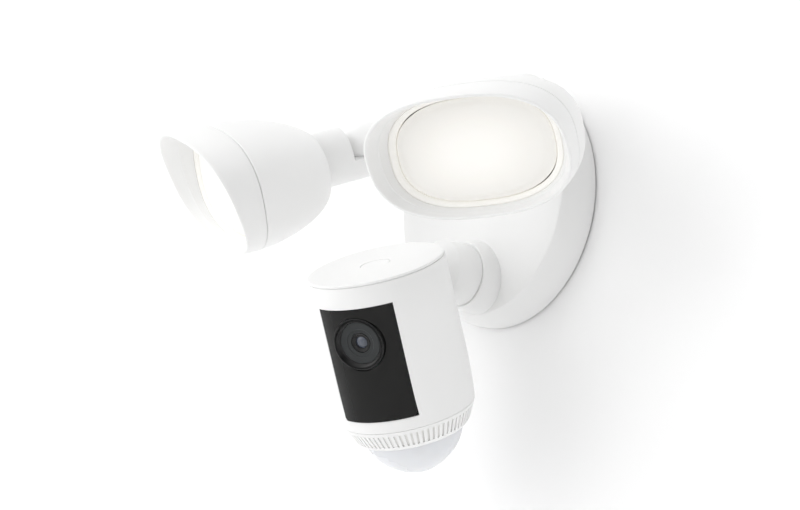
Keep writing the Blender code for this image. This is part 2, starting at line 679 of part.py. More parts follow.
def build_camera_mount(root):
    """The neck turns in the base's collar and carries the ball that the camera sits on."""
    seat = frame(Vector((PIVOT.x, -COLLAR_DEPTH, PIVOT.z)), (0, -1, 0), (0, 0, 1))
    swivel = joint_empty("camera_neck_swivel", seat, root)
    reach = -PIVOT.y - COLLAR_DEPTH
    profile = [(0, reach + BALL_R)] + arc(0, reach, BALL_R, 75, -63, 8)
    profile += [(4.2, reach - 12.5), (12.2, reach - 12.5), (13.4, reach - 13.3),
                (CAMERA_NECK_R, reach - 18.0), (CAMERA_NECK_R, 1.1), (CAMERA_NECK_R - 0.6, 0.5), (8.5, 0.5),
                (8.5, -25.0), (5.0, -25.0), (5.0, 6.0), (0, 6.0)]
    part("camera_neck", turned("camera_neck", profile, 28), "white_plastic", seat, swivel)
    nut = turned("camera_neck_nut", [(12.0, -21.5), (12.0, -24.5), (9.1, -24.5), (9.1, -21.5)], 12)
    part("camera_neck_nut", nut, "brass", seat, swivel)

    pan_place = frame(PIVOT, (0, 0, 1), (0, 1, 0))
    pan = joint_empty("camera_pan", pan_place, swivel)
    facing = camera_frame()
    yaw_front = facing.to_3x3() @ Vector((0, -1, 0))
    level_front = Vector((yaw_front.x, yaw_front.y, 0))
    liner_place = frame(PIVOT, level_front, (0, 0, 1))
    outer = arc(0, 0, LINER_R, 62, 8, 5)
    inner = arc(0, 0, BALL_R + GAP, 8, 62, 5)
    part("ball_liner", turned("ball_liner", outer + inner, 24), "dark_grey", liner_place, pan)
    tilt = joint_empty("camera_tilt", frame(PIVOT, facing.to_3x3() @ Vector((1, 0, 0)), (0, 0, 1)), pan)
    return tilt


# ---------------------------------------------------------------- camera unit


def shell_profile():
    """The outside of the camera's shell from its top to its seam, as (radius, height)."""
    points = [(CAMERA_R, -1.6), (CAMERA_R, -TAPER_DROP)]
    for i in range(1, 5):
        share = i / 4
        radius = CAMERA_R - (CAMERA_R - SEAM_R) * share**2
        points.append((radius, -TAPER_DROP - (SEAM_DROP - TAPER_DROP) * share))
    return points


def build_camera(tilt):
    place = camera_frame()

    outer = shell_profile()
    inner = [(SEAM_R - SHELL_WALL, outer[-1][1]), (CAMERA_R - SHELL_WALL, -TAPER_DROP - 2),
             (CAMERA_R - SHELL_WALL, outer[0][1])]
    shell = part("camera_shell", turned("camera_shell", outer + inner, 44), "white_plastic", place, tilt)
    ball = place @ shift(0, CAMERA_R + CAMERA_STANDOFF, -PIVOT_DROP)
    socket_place = ball @ turn(90, "X")
    socket = turned("socket_boss", [(0, 8.0), (SOCKET_R * 0.94, 8.0)] + arc(0, 0, SOCKET_R, 20, -4, 3)
                    + [(0, SOCKET_R * math.sin(math.radians(-4)))], 28)
    join(shell, socket, socket_place)
    hollow = turned("socket_hollow", [(0, LINER_R + GAP)] + arc(0, 0, LINER_R + GAP, 75, -60, 8)
                    + [(0, -(LINER_R + GAP) * math.sin(math.radians(60)))], 24)
    cut(shell, hollow, socket_place)
    cut(shell, box("window_opening", (-WINDOW_HALF_WIDTH - GAP, -45, -WINDOW_BOTTOM - GAP),
                   (WINDOW_HALF_WIDTH + GAP, -20, -WINDOW_TOP + GAP)), place)

    cap = turned("top_cap", [(0, 0), (CAMERA_R - 1.0, 0), (CAMERA_R, -0.5), (CAMERA_R, -1.3),
                             (CAMERA_R - SHELL_WALL - GAP, -1.3), (CAMERA_R - SHELL_WALL - GAP, -3.2),
                             (0, -3.2)], 44)
    top = part("top_cap", cap, "white_plastic", place, tilt)
    cut(top, disc("button_opening", BUTTON_R + GAP, -6, 3, 24), place)
    press = joint_empty("setup_button_press", place, tilt)
    button = turned("setup_button", [(0, -0.1), (BUTTON_R - 0.4, -0.1), (BUTTON_R, -0.5), (BUTTON_R, -3.4),
                                     (BUTTON_R + 1.4, -3.4), (BUTTON_R + 1.4, -4.4), (1.6, -4.4),
                                     (1.6, -6.6), (0, -6.6)], 24)
    part("setup_button", button, "white_plastic", place, press)
    part("button_switch", box("button_switch", (-3, -3, -9.6), (3, 3, -8.0)), "dark_grey", place, tilt)

    band = [(CAMERA_R - 0.1, -WINDOW_TOP), (CAMERA_R - 0.1, -WINDOW_BOTTOM),
            (CAMERA_R - 2.2, -WINDOW_BOTTOM), (CAMERA_R - 2.2, -WINDOW_TOP)]
    window = part("front_window", turned("front_window", band, 44), "black_gloss", place, tilt)
    keep = cutter("window_keep", box("window_keep", (-WINDOW_HALF_WIDTH, -45, -WINDOW_BOTTOM - 5),
                                     (WINDOW_HALF_WIDTH, -20, -WINDOW_TOP + 5)), place)
    boolean(window, keep, "INTERSECT")
    eye = place @ shift(0, 0, -LENS_DROP) @ turn(90, "X")
    cut(window, disc("lens_opening", LENS_SURROUND_R + GAP, 20, 45, 32), eye)

    surround = [(LENS_SURROUND_R, CAMERA_R - 0.2), (LENS_SURROUND_R, CAMERA_R - 6.5), (5.4, CAMERA_R - 6.5),
                (5.4, CAMERA_R - 4.4), (10.8, CAMERA_R - 4.0), (13.4, CAMERA_R - 0.2)]
    part("lens_surround", turned("lens_surround", surround, 32), "dark_grey", eye, tilt)
    barrel = [(0, CAMERA_R - 6.8), (5.0, CAMERA_R - 6.8), (5.0, CAMERA_R - 20.0), (0, CAMERA_R - 20.0)]
    part("lens_barrel", turned("lens_barrel", barrel, 20), "black_gloss", eye, tilt)
    glass = [(0, CAMERA_R - 4.2)] + arc(0, CAMERA_R - 13.2, 9.0, 80, 57, 4)
    glass += [(4.9, CAMERA_R - 6.5), (0, CAMERA_R - 6.5)]
    part("lens_glass", turned("lens_glass", glass, 20), "glass", eye, tilt)
    boards = (("sensor_board", eye, (-13, -13, 14.6), (13, 13, 16.2), 2.0),
              ("infrared_board", place, (-14, -31.0, -66), (14, -29.4, -52), 0.0),
              ("main_board", place, (-22, 8.0, -76), (22, 9.6, -22), 0.0))
    for name, at, low, high, corner in boards:
        part(name, box(name, low, high, corner), "circuit_green", at, tilt)
    cone = [(0, -64), (12.0, -64), (12.0, -70), (17.0, -72), (17.0, -74.5), (0, -74.5)]
    part("speaker", turned("speaker", cone, 20), "dark_grey", place @ shift(0, -12, 0), tilt)

    name = "sound_grille"
    slope = [(SEAM_R - 0.3, -SEAM_DROP - GAP), (SEAM_R - 1.0, -SEAM_DROP - 2.0),
             (GRILLE_R + 2.0, -GRILLE_DROP + 2.0), (GRILLE_R, -GRILLE_DROP)]
    back = [(DOME_R - 0.4, -GRILLE_DROP), (GRILLE_R - 0.8, -GRILLE_DROP + 2.6),
            (SEAM_R - 3.6, -SEAM_DROP - GAP)]
    grille = part(name, turned(name, slope + back, GRILLE_SLOTS), "white_plastic", place, tilt)
    cut(grille, slot_cutter(), place)

    skin = dome_profile(DOME_R - 0.7, -GRILLE_DROP, DOME_TIP - GRILLE_DROP, 7)
    core = dome_profile(DOME_R - 2.9, -GRILLE_DROP, DOME_TIP - GRILLE_DROP - 2.0, 4)
    top_edge = -GRILLE_DROP + 2.2
    wall = skin[::-1] + [(DOME_R - 1.2, top_edge), (DOME_R - 2.9, top_edge)] + core
    part("motion_dome", turned("motion_dome", wall, 32), "dome_white", place, tilt)
    sensor = disc("motion_sensor", 4.6, -GRILLE_DROP + 1.5, -GRILLE_DROP + 6.0, 16)
    part("motion_sensor", sensor, "steel", place, tilt)
    carrier = disc("sensor_carrier", 21.0, -GRILLE_DROP + 6.4, -GRILLE_DROP + 8.0, 24)
    part("sensor_carrier", carrier, "circuit_green", place, tilt)


def dome_profile(radius, start, depth, steps):
    """The outline of the motion sensor's dome, from its rim down to its tip on the axis."""
    points = []
    for i in range(steps + 1):
        share = math.sin(math.radians(90 * i / steps))
        reach = radius * (1 - share**DOME_POINTEDNESS) ** (1 / DOME_POINTEDNESS)
        points.append((reach, start - depth * share))
    return points


def slot_cutter():
    """Narrow upright slots all round the sound grille, in one cutter."""
    bm = bmesh.new()
    low, high = -GRILLE_DROP + 2.5, -SEAM_DROP - 2.5
    for i in range(GRILLE_SLOTS):
        spin = turn(360 * (i + 0.5) / GRILLE_SLOTS, "Z")
        size = Matrix.Diagonal((14 * MM, 1.3 * MM, (high - low) * MM, 1.0))
        place = spin @ shift(32, 0, (low + high) / 2) @ size
        bmesh.ops.create_cube(bm, size=1.0, matrix=place)
    return finish_mesh(bm, "grille_slots")


def main():
    root = build_base()
    for side in ("left", "right"):
        arm_empty = build_arm(side, root)
        neck_empty = build_neck(side, arm_empty)
        build_head(side, neck_empty)
    tilt = build_camera_mount(root)
    build_camera(tilt)


main()
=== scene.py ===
"""The looks of a wall-mounted floodlight security camera: fine shells, materials, light and view.

Sizes are in millimetres in each piece's own frame, and MM turns them into the metres of the CAD.
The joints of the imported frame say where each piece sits.
"""

import json
import math

import bmesh
import bpy
from mathutils import Matrix, Vector


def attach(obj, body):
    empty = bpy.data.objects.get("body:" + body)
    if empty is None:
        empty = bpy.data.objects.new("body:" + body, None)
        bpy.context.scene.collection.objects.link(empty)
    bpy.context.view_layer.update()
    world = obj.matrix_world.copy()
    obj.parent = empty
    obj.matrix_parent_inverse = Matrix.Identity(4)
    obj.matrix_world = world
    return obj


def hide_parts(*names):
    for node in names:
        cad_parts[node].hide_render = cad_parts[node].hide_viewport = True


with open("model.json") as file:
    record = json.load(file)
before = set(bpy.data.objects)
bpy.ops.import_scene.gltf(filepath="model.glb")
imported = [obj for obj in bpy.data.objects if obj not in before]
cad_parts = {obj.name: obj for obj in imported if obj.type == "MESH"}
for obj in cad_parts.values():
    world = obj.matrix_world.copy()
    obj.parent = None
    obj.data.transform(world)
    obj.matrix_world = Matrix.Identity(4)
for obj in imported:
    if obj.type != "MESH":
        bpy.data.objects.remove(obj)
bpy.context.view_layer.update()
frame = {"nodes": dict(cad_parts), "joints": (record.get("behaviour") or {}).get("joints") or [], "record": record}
JOINTS = {joint["name"]: joint for joint in frame["joints"]}

MM = 0.001
GAP = 0.3
ROUND = 96
SIDES = ("left", "right")

# Wall base, turned about an axis square to the wall. Depths are distances from the wall.
BASE_REAR_R = 71.6
BASE_FACE_R = 67.1
BASE_FACE_DEPTH = 21.2
BASE_CROWN_DEPTH = 29.0
BASE_RIM_DEPTH = 2.5
BASE_WALL = 2.5
SKIRT_R = 70.5
COLLAR_REAR_R = 20.5
COLLAR_FRONT_R = 18.4
COLLAR_REAR_DEPTH = 27.0
COLLAR_SEAT_R = 12.2
COLLAR_BORE_R = 8.8
SEAL_SEAT_R = 11.2
SEAL_SEAT_DEPTH = 1.9
TOP_SCREW_DEPTH = 10.0
SCREW_POCKET_R = 3.8
SCREW_HOLE_R = 2.2
SCREW_SEAT_R = 68.4

# Floodlight arms and necks. Distances run along them from the boss or the elbow.
ARM_R = 15.2
ARM_BOSS_R = 16.5
ARM_BOSS_INNER_R = 9.5
ARM_BOSS_INNER_LENGTH = 36.0
SPIGOT_R = 6.3
SPIGOT_BORE_R = 4.3
SPIGOT_LENGTH = 38.8
NECK_R = 16.5
NECK_CUT = 17.2
LAP_GAP = 0.15
ELBOW_SCREW_R = 2.5

# Floodlight heads. Distances run from the elbow to where the head shines.
HEAD_ROLL = {"left": 25.9, "right": -2.0}
HEAD_BACK = 34.5
HEAD_SEAM = 88.0
HOOD_MEAN = 15.9
HOOD_SLANT = 7.6
HEAD_HALF_WIDTH = 54.3
HEAD_HALF_HEIGHT = 34.6
HEAD_SQUARENESS = 2.53
WIDTH_FULLNESS = 2.15
HEIGHT_FULLNESS = 1.6
HEAD_WALL = 2.2
DIFFUSER_HALF_WIDTH = 42.4
DIFFUSER_HALF_HEIGHT = 27.0
TWIST_SPIGOT_R = 9.0

# Camera unit, turned about its upright axis. Heights are measured down from its top.
CAMERA_R = 37.5
CAMERA_STANDOFF = 6.0
PIVOT_DROP = 15.3
SEAM_DROP = 82.5
SEAM_R = 36.2
TAPER_DROP = 58.0
GRILLE_DROP = 94.6
GRILLE_R = 29.5
GRILLE_SLOTS = 72
SLOT_SHARE = 0.40
DOME_R = 27.5
DOME_TIP = 117.5
DOME_POINTEDNESS = 1.7
SHELL_WALL = 2.4
WINDOW_HALF_WIDTH = 21.4
WINDOW_TOP = 13.3
WINDOW_BOTTOM = 75.4
LENS_DROP = 32.3
LENS_R = 14.3
BUTTON_R = 8.0
BALL_R = 9.5
LINER_R = 11.0
SOCKET_R = 13.5
CAMERA_NECK_R = 17.3

# The view: where the camera stands round the object, and its lens in 36 mm film terms.
VIEW_AZIMUTH = 47.15
VIEW_ELEVATION = -13.53
VIEW_DISTANCE = 1.3408
VIEW_LENS = 105.6
VIEW_SHIFT = (-0.1349, -0.0634)

# The studio, in metres and watts: where the soft sky is brightest, how bright it is there and in its
# dark part, the cosine of the angle from the bright side at which the dark part starts, and the sky
# behind the wall. Then the one lamp, the painted glow on the rings round the diffusers (emission that
# stands in for the diffusers' light falling on them, as painted light), and the wall and floor.
SKY_SIDE = (-0.50, -0.76, 0.42)
SKY_BRIGHT = 1.62
SKY_DARK = 0.14
SKY_EDGE = -0.10
SKY_BEHIND = 0.85
KEY_PLACE = (-0.62, -1.55, 0.78)
KEY_TARGET = (0.0, -0.05, -0.03)
KEY_SIZE = 1.3
KEY_POWER = 3.0
BEZEL_PAINTED_GLOW = 0.12
STAGE_SIZE = 8.0
WALL_BACK = 0.0006
FLOOR_HEIGHT = -0.75


# ---------------------------------------------------------------- frames


def axes_frame(origin, z_axis, y_hint):
    """A frame at origin (metres) whose Z axis is z_axis and whose Y axis is as near y_hint as it can be."""
    z = Vector(z_axis).normalized()
    x = Vector(y_hint).cross(z).normalized()
    y = z.cross(x)
    return Matrix.Translation(Vector(origin)) @ Matrix((x, y, z)).transposed().to_4x4()


def shift(x=0.0, y=0.0, z=0.0):
    return Matrix.Translation(Vector((x, y, z)) * MM)


def turn(angle, axis):
    return Matrix.Rotation(math.radians(angle), 4, axis)


BASE = axes_frame((0, 0, 0), (0, -1, 0), (0, 0, 1))


def arm_frame(side):
    """Origin on the boss's face, Z along the arm, Y along the elbow's axis."""
    swivel = JOINTS[f"{side}_arm_swivel"]
    return axes_frame(swivel["pos_m"], swivel["axis"], JOINTS[f"{side}_elbow"]["axis"])


def neck_frame(side):
    """Origin at the elbow, Z along the neck, Y along the elbow's axis."""
    elbow = JOINTS[f"{side}_elbow"]
    return axes_frame(elbow["pos_m"], JOINTS[f"{side}_head_twist"]["axis"], elbow["axis"])


def head_frame(side):
    """Origin at the elbow, Z where the head shines, X across its width."""
    shine = Vector(JOINTS[f"{side}_head_twist"]["axis"])
    level = Vector((-shine.y, shine.x, 0.0)).normalized()
    up = shine.cross(level)
    spun = Matrix.Rotation(math.radians(-HEAD_ROLL[side]), 3, shine)
    return axes_frame(JOINTS[f"{side}_elbow"]["pos_m"], shine, spun @ up)


def camera_frame():
    """Origin at the middle of the camera's top, Z up its axis, -Y to its front."""
    across = Vector(JOINTS["camera_tilt"]["axis"])
    up = -Vector(JOINTS["setup_button_press"]["axis"])
    front = across.cross(up)
    pivot = Vector(JOINTS["camera_tilt"]["pos_m"])
    top = pivot + (front * (CAMERA_R + CAMERA_STANDOFF) + up * PIVOT_DROP) * MM
    return axes_frame(top, up, -front)


# ---------------------------------------------------------------- mesh helpers


def new_mesh(bm, name, sharp=32):
    bmesh.ops.recalc_face_normals(bm, faces=bm.faces)
    mesh = bpy.data.meshes.new(name)
    bm.to_mesh(mesh)
    bm.free()
    mesh.shade_smooth()
    mesh.set_sharp_from_angle(angle=math.radians(sharp))
    return mesh


def turned(name, profile, steps=ROUND):
    """A (radius, height) profile turned about Z. It closes on itself unless it starts on the axis."""
    bm = bmesh.new()
    rows = []
    for radius, height in profile:
        if radius == 0:
            rows.append([bm.verts.new((0, 0, height * MM))])
            continue
        row = []
        for i in range(steps):
            angle = 2 * math.pi * i / steps
            point = Vector((radius * math.cos(angle), radius * math.sin(angle), height))
            row.append(bm.verts.new(point * MM))
        rows.append(row)
    pairs = list(zip(rows, rows[1:]))
    if profile[0][0] > 0:
        pairs.append((rows[-1], rows[0]))
    for lower, upper in pairs:
        for i in range(steps):
            j = (i + 1) % steps
            corners = [lower[i % len(lower)], lower[j % len(lower)],
                       upper[j % len(upper)], upper[i % len(upper)]]
            bm.faces.new(list(dict.fromkeys(corners)))
    return new_mesh(bm, name)


def disc(name, radius, low, high, steps=48):
    return turned(name, [(0, low), (radius, low), (radius, high), (0, high)], steps)


def box(name, low, high):
    size = [(b - a) * MM for a, b in zip(low, high)]
    middle = [(a + b) / 2 for a, b in zip(low, high)]
    bm = bmesh.new()
    bmesh.ops.create_cube(bm, size=1.0, matrix=shift(*middle) @ Matrix.Diagonal((*size, 1.0)))
    return new_mesh(bm, name)


def arc(centre_r, centre_z, radius, start, end, count):
    """Points on an arc in the (radius, height) plane, angles in degrees from +radius towards +height."""
    points = []
    for i in range(count):
        angle = math.radians(start + (end - start) * i / (count - 1))
        points.append((centre_r + radius * math.cos(angle), centre_z + radius * math.sin(angle)))
    return points


def oval(half_width, half_height, squareness=HEAD_SQUARENESS, count=120):
    """A superellipse: an ellipse at squareness 2, fuller at the corners above that."""
    points = []
    for i in range(count):
        angle = 2 * math.pi * (i + 0.5) / count
        c, s = math.cos(angle), math.sin(angle)
        x = math.copysign(abs(c) ** (2 / squareness), c)
        y = math.copysign(abs(s) ** (2 / squareness), s)
        points.append((half_width * x, half_height * y))
    return points


def section(outline, height, slant=0.0):
    """An outline lifted to a height, and by the slant more at the head's top and less at its bottom."""
    return [(x, y, height + slant * y / HEAD_HALF_HEIGHT) for x, y in outline]


def loft(name, sections, close_loop=False, sharp=32):
    """Joins equal sections in order. It caps the first and last, or joins them where close_loop is set."""
    bm = bmesh.new()
    rows = [[bm.verts.new(Vector(p) * MM) for p in points] for points in sections]
    count = len(rows[0])
    pairs = list(zip(rows, rows[1:]))
    if close_loop:
        pairs.append((rows[-1], rows[0]))
    for lower, upper in pairs:
        for i in range(count):
            j = (i + 1) % count
            bm.faces.new((lower[i], lower[j], upper[j], upper[i]))
    if not close_loop:
        bm.faces.new(rows[0])
        bm.faces.new(rows[-1])
    return new_mesh(bm, name, sharp)


def link(obj):
    bpy.context.scene.collection.objects.link(obj)
    return obj


def piece(name, mesh, finish, slot, place, body, *nodes):
    """A fine piece that rides on a CAD body and stands for the CAD nodes named. Its place is in its mesh."""
    mesh.transform(place)
    obj = link(bpy.data.objects.new(name, mesh))
    mesh.materials.append(finish)
    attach(obj, body)
    if nodes:
        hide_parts(*nodes)
    return obj


def carve(obj, changes):
    """Joins and cuts meshes into obj in order, given as (operation, mesh, place), and keeps the result."""
    helpers = []
    for operation, mesh, place in changes:
        helper = link(bpy.data.objects.new("helper", mesh))
        helper.matrix_world = place
        modifier = obj.modifiers.new(operation, "BOOLEAN")
        modifier.operation = operation
        modifier.object = helper
        modifier.solver = "EXACT"
        helpers.append(helper)
    bpy.context.view_layer.update()
    graph = bpy.context.evaluated_depsgraph_get()
    made = bpy.data.meshes.new_from_object(obj.evaluated_get(graph))
    obj.modifiers.clear()
    obj.data = made
    for helper in helpers:
        bpy.data.objects.remove(helper)


def soften(obj, width, angle=38):
    """Rounds the sharp edges by a small radius, as a moulding has them."""
    mesh = obj.data
    bm = bmesh.new()
    bm.from_mesh(mesh)
    bmesh.ops.remove_doubles(bm, verts=bm.verts, dist=0.00002)
    bmesh.ops.dissolve_degenerate(bm, edges=bm.edges, dist=0.00002)
    bm.to_mesh(mesh)
    bm.free()
    mesh.shade_smooth()
    bevel = obj.modifiers.new("Rounded edges", "BEVEL")
    bevel.width = width * MM
    bevel.segments = 2
    bevel.limit_method = "ANGLE"
    bevel.angle_limit = math.radians(angle)
    bevel.harden_normals = True
    bevel.use_clamp_overlap = True


# ---------------------------------------------------------------- materials


def moulded(name, colour, roughness, grain=0.03, grain_scale=1400, subsurface=0.0, coat=0.0,
            gloss_level=0.5):
    """Moulded plastic: a faint spark-eroded grain, slow changes of gloss, and a trace of tone."""
    made = bpy.data.materials.new(name)
    made.use_nodes = True
    tree = made.node_tree
    nodes, links = tree.nodes, tree.links
    shader = nodes["Principled BSDF"]
    shader.inputs["IOR"].default_value = 1.49
    shader.inputs["Specular IOR Level"].default_value = gloss_level
    shader.inputs["Coat Weight"].default_value = coat
    shader.inputs["Coat Roughness"].default_value = 0.25
    if subsurface:
        shader.inputs["Subsurface Weight"].default_value = subsurface
        shader.inputs["Subsurface Radius"].default_value = (0.004, 0.0035, 0.003)
        shader.inputs["Subsurface Scale"].default_value = 1.0
    place = nodes.new("ShaderNodeTexCoord")

    slow = nodes.new("ShaderNodeTexNoise")
    slow.inputs["Scale"].default_value = 28.0
    slow.inputs["Detail"].default_value = 3.0
    links.new(place.outputs["Object"], slow.inputs["Vector"])
    gloss = nodes.new("ShaderNodeMapRange")
    gloss.inputs["To Min"].default_value = roughness - 0.05
    gloss.inputs["To Max"].default_value = roughness + 0.06
    links.new(slow.outputs["Fac"], gloss.inputs["Value"])
    links.new(gloss.outputs["Result"], shader.inputs["Roughness"])

    tone = nodes.new("ShaderNodeMix")
    tone.data_type = "RGBA"
    tone.inputs["A"].default_value = (*[c * 0.985 for c in colour], 1.0)
    tone.inputs["B"].default_value = (*colour, 1.0)
    links.new(slow.outputs["Fac"], tone.inputs["Factor"])
    links.new(tone.outputs["Result"], shader.inputs["Base Color"])

    fine = nodes.new("ShaderNodeTexNoise")
    fine.inputs["Scale"].default_value = grain_scale
    fine.inputs["Detail"].default_value = 2.0
    links.new(place.outputs["Object"], fine.inputs["Vector"])
    bump = nodes.new("ShaderNodeBump")
    bump.inputs["Strength"].default_value = grain
    bump.inputs["Distance"].default_value = 0.0002
    links.new(fine.outputs["Fac"], bump.inputs["Height"])
    links.new(bump.outputs["Normal"], shader.inputs["Normal"])
    return made


def metal(name, colour, roughness, brushed=(1.0, 1.0, 1.0), scale=500):
    """Metal with a fine brushed or cast grain, which stretches along the smaller of the three scales."""
    made = bpy.data.materials.new(name)
    made.use_nodes = True
    tree = made.node_tree
    nodes, links = tree.nodes, tree.links
    shader = nodes["Principled BSDF"]
    shader.inputs["Metallic"].default_value = 1.0
    shader.inputs["Base Color"].default_value = (*colour, 1.0)
    place = nodes.new("ShaderNodeTexCoord")
    stretch = nodes.new("ShaderNodeMapping")
    stretch.inputs["Scale"].default_value = brushed
    links.new(place.outputs["Object"], stretch.inputs["Vector"])
    grain = nodes.new("ShaderNodeTexNoise")
    grain.inputs["Scale"].default_value = scale
    grain.inputs["Detail"].default_value = 4.0
    links.new(stretch.outputs["Vector"], grain.inputs["Vector"])
    gloss = nodes.new("ShaderNodeMapRange")
    gloss.inputs["To Min"].default_value = roughness - 0.08
    gloss.inputs["To Max"].default_value = roughness + 0.12
    links.new(grain.outputs["Fac"], gloss.inputs["Value"])
    links.new(gloss.outputs["Result"], shader.inputs["Roughness"])
    bump = nodes.new("ShaderNodeBump")
    bump.inputs["Strength"].default_value = 0.12
    bump.inputs["Distance"].default_value = 0.0002
    links.new(grain.outputs["Fac"], bump.inputs["Height"])
    links.new(bump.outputs["Normal"], shader.inputs["Normal"])
    return made


def glowing(name, colour, glow, strength, side):
    """A frosted diffuser, lit from behind, brighter over the light chips than at its rim."""
    made = moulded(name, colour, 0.34, grain=0.10, grain_scale=700, subsurface=0.25)
    nodes, links = made.node_tree.nodes, made.node_tree.links
    shader = nodes["Principled BSDF"]
    shader.inputs["Emission Color"].default_value = (*glow, 1.0)
    place = nodes.new("ShaderNodeTexCoord")
    squeeze = nodes.new("ShaderNodeMapping")
    squeeze.vector_type = "TEXTURE"
    head = head_frame(side)
    squeeze.inputs["Location"].default_value = head.translation
    squeeze.inputs["Rotation"].default_value = head.to_euler()
    squeeze.inputs["Scale"].default_value = (DIFFUSER_HALF_WIDTH * MM, DIFFUSER_HALF_HEIGHT * MM, 10.0)
    links.new(place.outputs["Object"], squeeze.inputs["Vector"])
    away = nodes.new("ShaderNodeVectorMath")
    away.operation = "LENGTH"
    links.new(squeeze.outputs["Vector"], away.inputs[0])
    fall = nodes.new("ShaderNodeMapRange")
    fall.interpolation_type = "SMOOTHSTEP"
    fall.inputs["From Min"].default_value = 0.15
    fall.inputs["From Max"].default_value = 1.05
    fall.inputs["To Min"].default_value = strength
    fall.inputs["To Max"].default_value = strength * 0.72
    links.new(away.outputs["Value"], fall.inputs["Value"])
    links.new(fall.outputs["Result"], shader.inputs["Emission Strength"])
    return made


def board(name, colour):
    """A circuit board: solder resist over copper tracks, drawn as a grid of fine lighter lines."""
    made = moulded(name, colour, 0.42, grain=0.04)
    nodes, links = made.node_tree.nodes, made.node_tree.links
    shader = nodes["Principled BSDF"]
    place = nodes.new("ShaderNodeTexCoord")
    tracks = nodes.new("ShaderNodeTexBrick")
    tracks.inputs["Scale"].default_value = 160.0
    tracks.inputs["Mortar Size"].default_value = 0.03
    tracks.inputs["Color1"].default_value = (*colour, 1.0)
    tracks.inputs["Color2"].default_value = (*[c * 0.8 for c in colour], 1.0)
    tracks.inputs["Mortar"].default_value = (*[min(1.0, c * 1.9 + 0.02) for c in colour], 1.0)
    links.new(place.outputs["Object"], tracks.inputs["Vector"])
    links.new(tracks.outputs["Color"], shader.inputs["Base Color"])
    return made


def make_finishes():
    finishes = {
        "white_plastic": moulded("white_plastic_fine", (0.90, 0.90, 0.895), 0.40, coat=0.05),
        "soft_white": moulded("soft_white_fine", (0.87, 0.865, 0.845), 0.55, grain=0.06),
        "warm_diffuser": moulded("warm_diffuser_fine", (0.93, 0.92, 0.88), 0.34),
        "dome_white": moulded("dome_white_fine", (0.79, 0.80, 0.825), 0.26,
                              grain=0.02, subsurface=0.3, coat=0.2),
        "black_gloss": moulded("black_gloss_fine", (0.011, 0.011, 0.0105), 0.16,
                               grain=0.005, gloss_level=0.2),
        "dark_grey": moulded("dark_grey_fine", (0.055, 0.058, 0.062), 0.40, grain=0.05),
        "glass": moulded("glass_fine", (0.030, 0.034, 0.045), 0.06, grain=0.0, coat=1.0),
        "black_rubber": moulded("black_rubber_fine", (0.025, 0.025, 0.026), 0.80,
                                grain=0.15, grain_scale=900),
        "grey_rubber": moulded("grey_rubber_fine", (0.30, 0.30, 0.31), 0.88,
                               grain=0.35, grain_scale=700),
        "steel": metal("steel_fine", (0.60, 0.60, 0.62), 0.32),
        "zinc": metal("zinc_fine", (0.68, 0.69, 0.71), 0.42, brushed=(1.0, 1.0, 0.08), scale=420),
        "aluminium": metal("aluminium_fine", (0.76, 0.77, 0.78), 0.40, scale=650),
        "brass": metal("brass_fine", (0.78, 0.58, 0.28), 0.30),
        "circuit_green": board("circuit_green_fine", (0.02, 0.17, 0.08)),
        "led_white": moulded("led_white_fine", (0.92, 0.90, 0.82), 0.50, grain=0.05),
        "potting_black": moulded("potting_black_fine", (0.05, 0.05, 0.055), 0.55,
                                 grain=0.25, grain_scale=500),
    }
    for side in SIDES:
        finishes[side] = glowing(f"{side}_diffuser_glow", (0.60, 0.595, 0.58), (1.0, 0.97, 0.91), 0.46, side)
    bezel = moulded("bezel_fine", (0.90, 0.89, 0.86), 0.45, grain=0.04)
    # Painted light: the bezel is no lamp, and its faint warm emission stands in for the diffusers' light falling
    # on it.
    shader = bezel.node_tree.nodes["Principled BSDF"]
    shader.inputs["Emission Color"].default_value = (1.0, 0.96, 0.88, 1.0)
    shader.inputs["Emission Strength"].default_value = BEZEL_PAINTED_GLOW
    finishes["bezel"] = bezel
    finishes["lens_ring"] = moulded("lens_ring_fine", (0.030, 0.033, 0.034), 0.38, gloss_level=0.3)
    finishes["lens_trim"] = moulded("lens_trim_fine", (0.010, 0.010, 0.010), 0.22, grain=0.01,
                                    gloss_level=0.3)
    finishes["lens_core"] = moulded("lens_core_fine", (0.060, 0.072, 0.100), 0.08, grain=0.0, coat=1.0)
    return finishes


FINISH = make_finishes()


def dress_cad_nodes():
    """Gives every CAD node its finish in full, including those that a fine piece stands for."""
    slots = {entry["node"]: entry["material_slot"] for entry in frame["record"]["subparts"]}
    for name, obj in frame["nodes"].items():
        obj.data.materials.clear()
        obj.data.materials.append(FINISH[slots[name]])


# ---------------------------------------------------------------- wall base


def base_profile(inset, steps):
    """The base from its crown to its rear rim, moved in by inset, with a rounded front edge."""
    reach = BASE_FACE_R - inset
    crown = BASE_CROWN_DEPTH - inset
    drop = BASE_CROWN_DEPTH - BASE_FACE_DEPTH
    points = []
    for i in range(steps):
        r = reach * 0.985 * i / (steps - 1)
        points.append((r, crown - drop * (r / BASE_FACE_R) ** 2))
    edge = BASE_FACE_DEPTH - inset
    points += [(reach - 0.45, edge + 0.02), (reach - 0.1, edge - 0.3), (reach + 0.1, edge - 0.8)]
    for share in (0.25, 0.5, 0.75):
        bow = 0.5 * math.sin(math.pi * share)
        widened = reach + (BASE_REAR_R - BASE_FACE_R - 1.2) * share + bow
        points.append((widened, edge - 0.8 - (edge - 9.8) * share))
    rear = BASE_REAR_R - inset
    return points + [(rear - 0.7, 9.0), (rear, 5.0), (rear, BASE_RIM_DEPTH)]


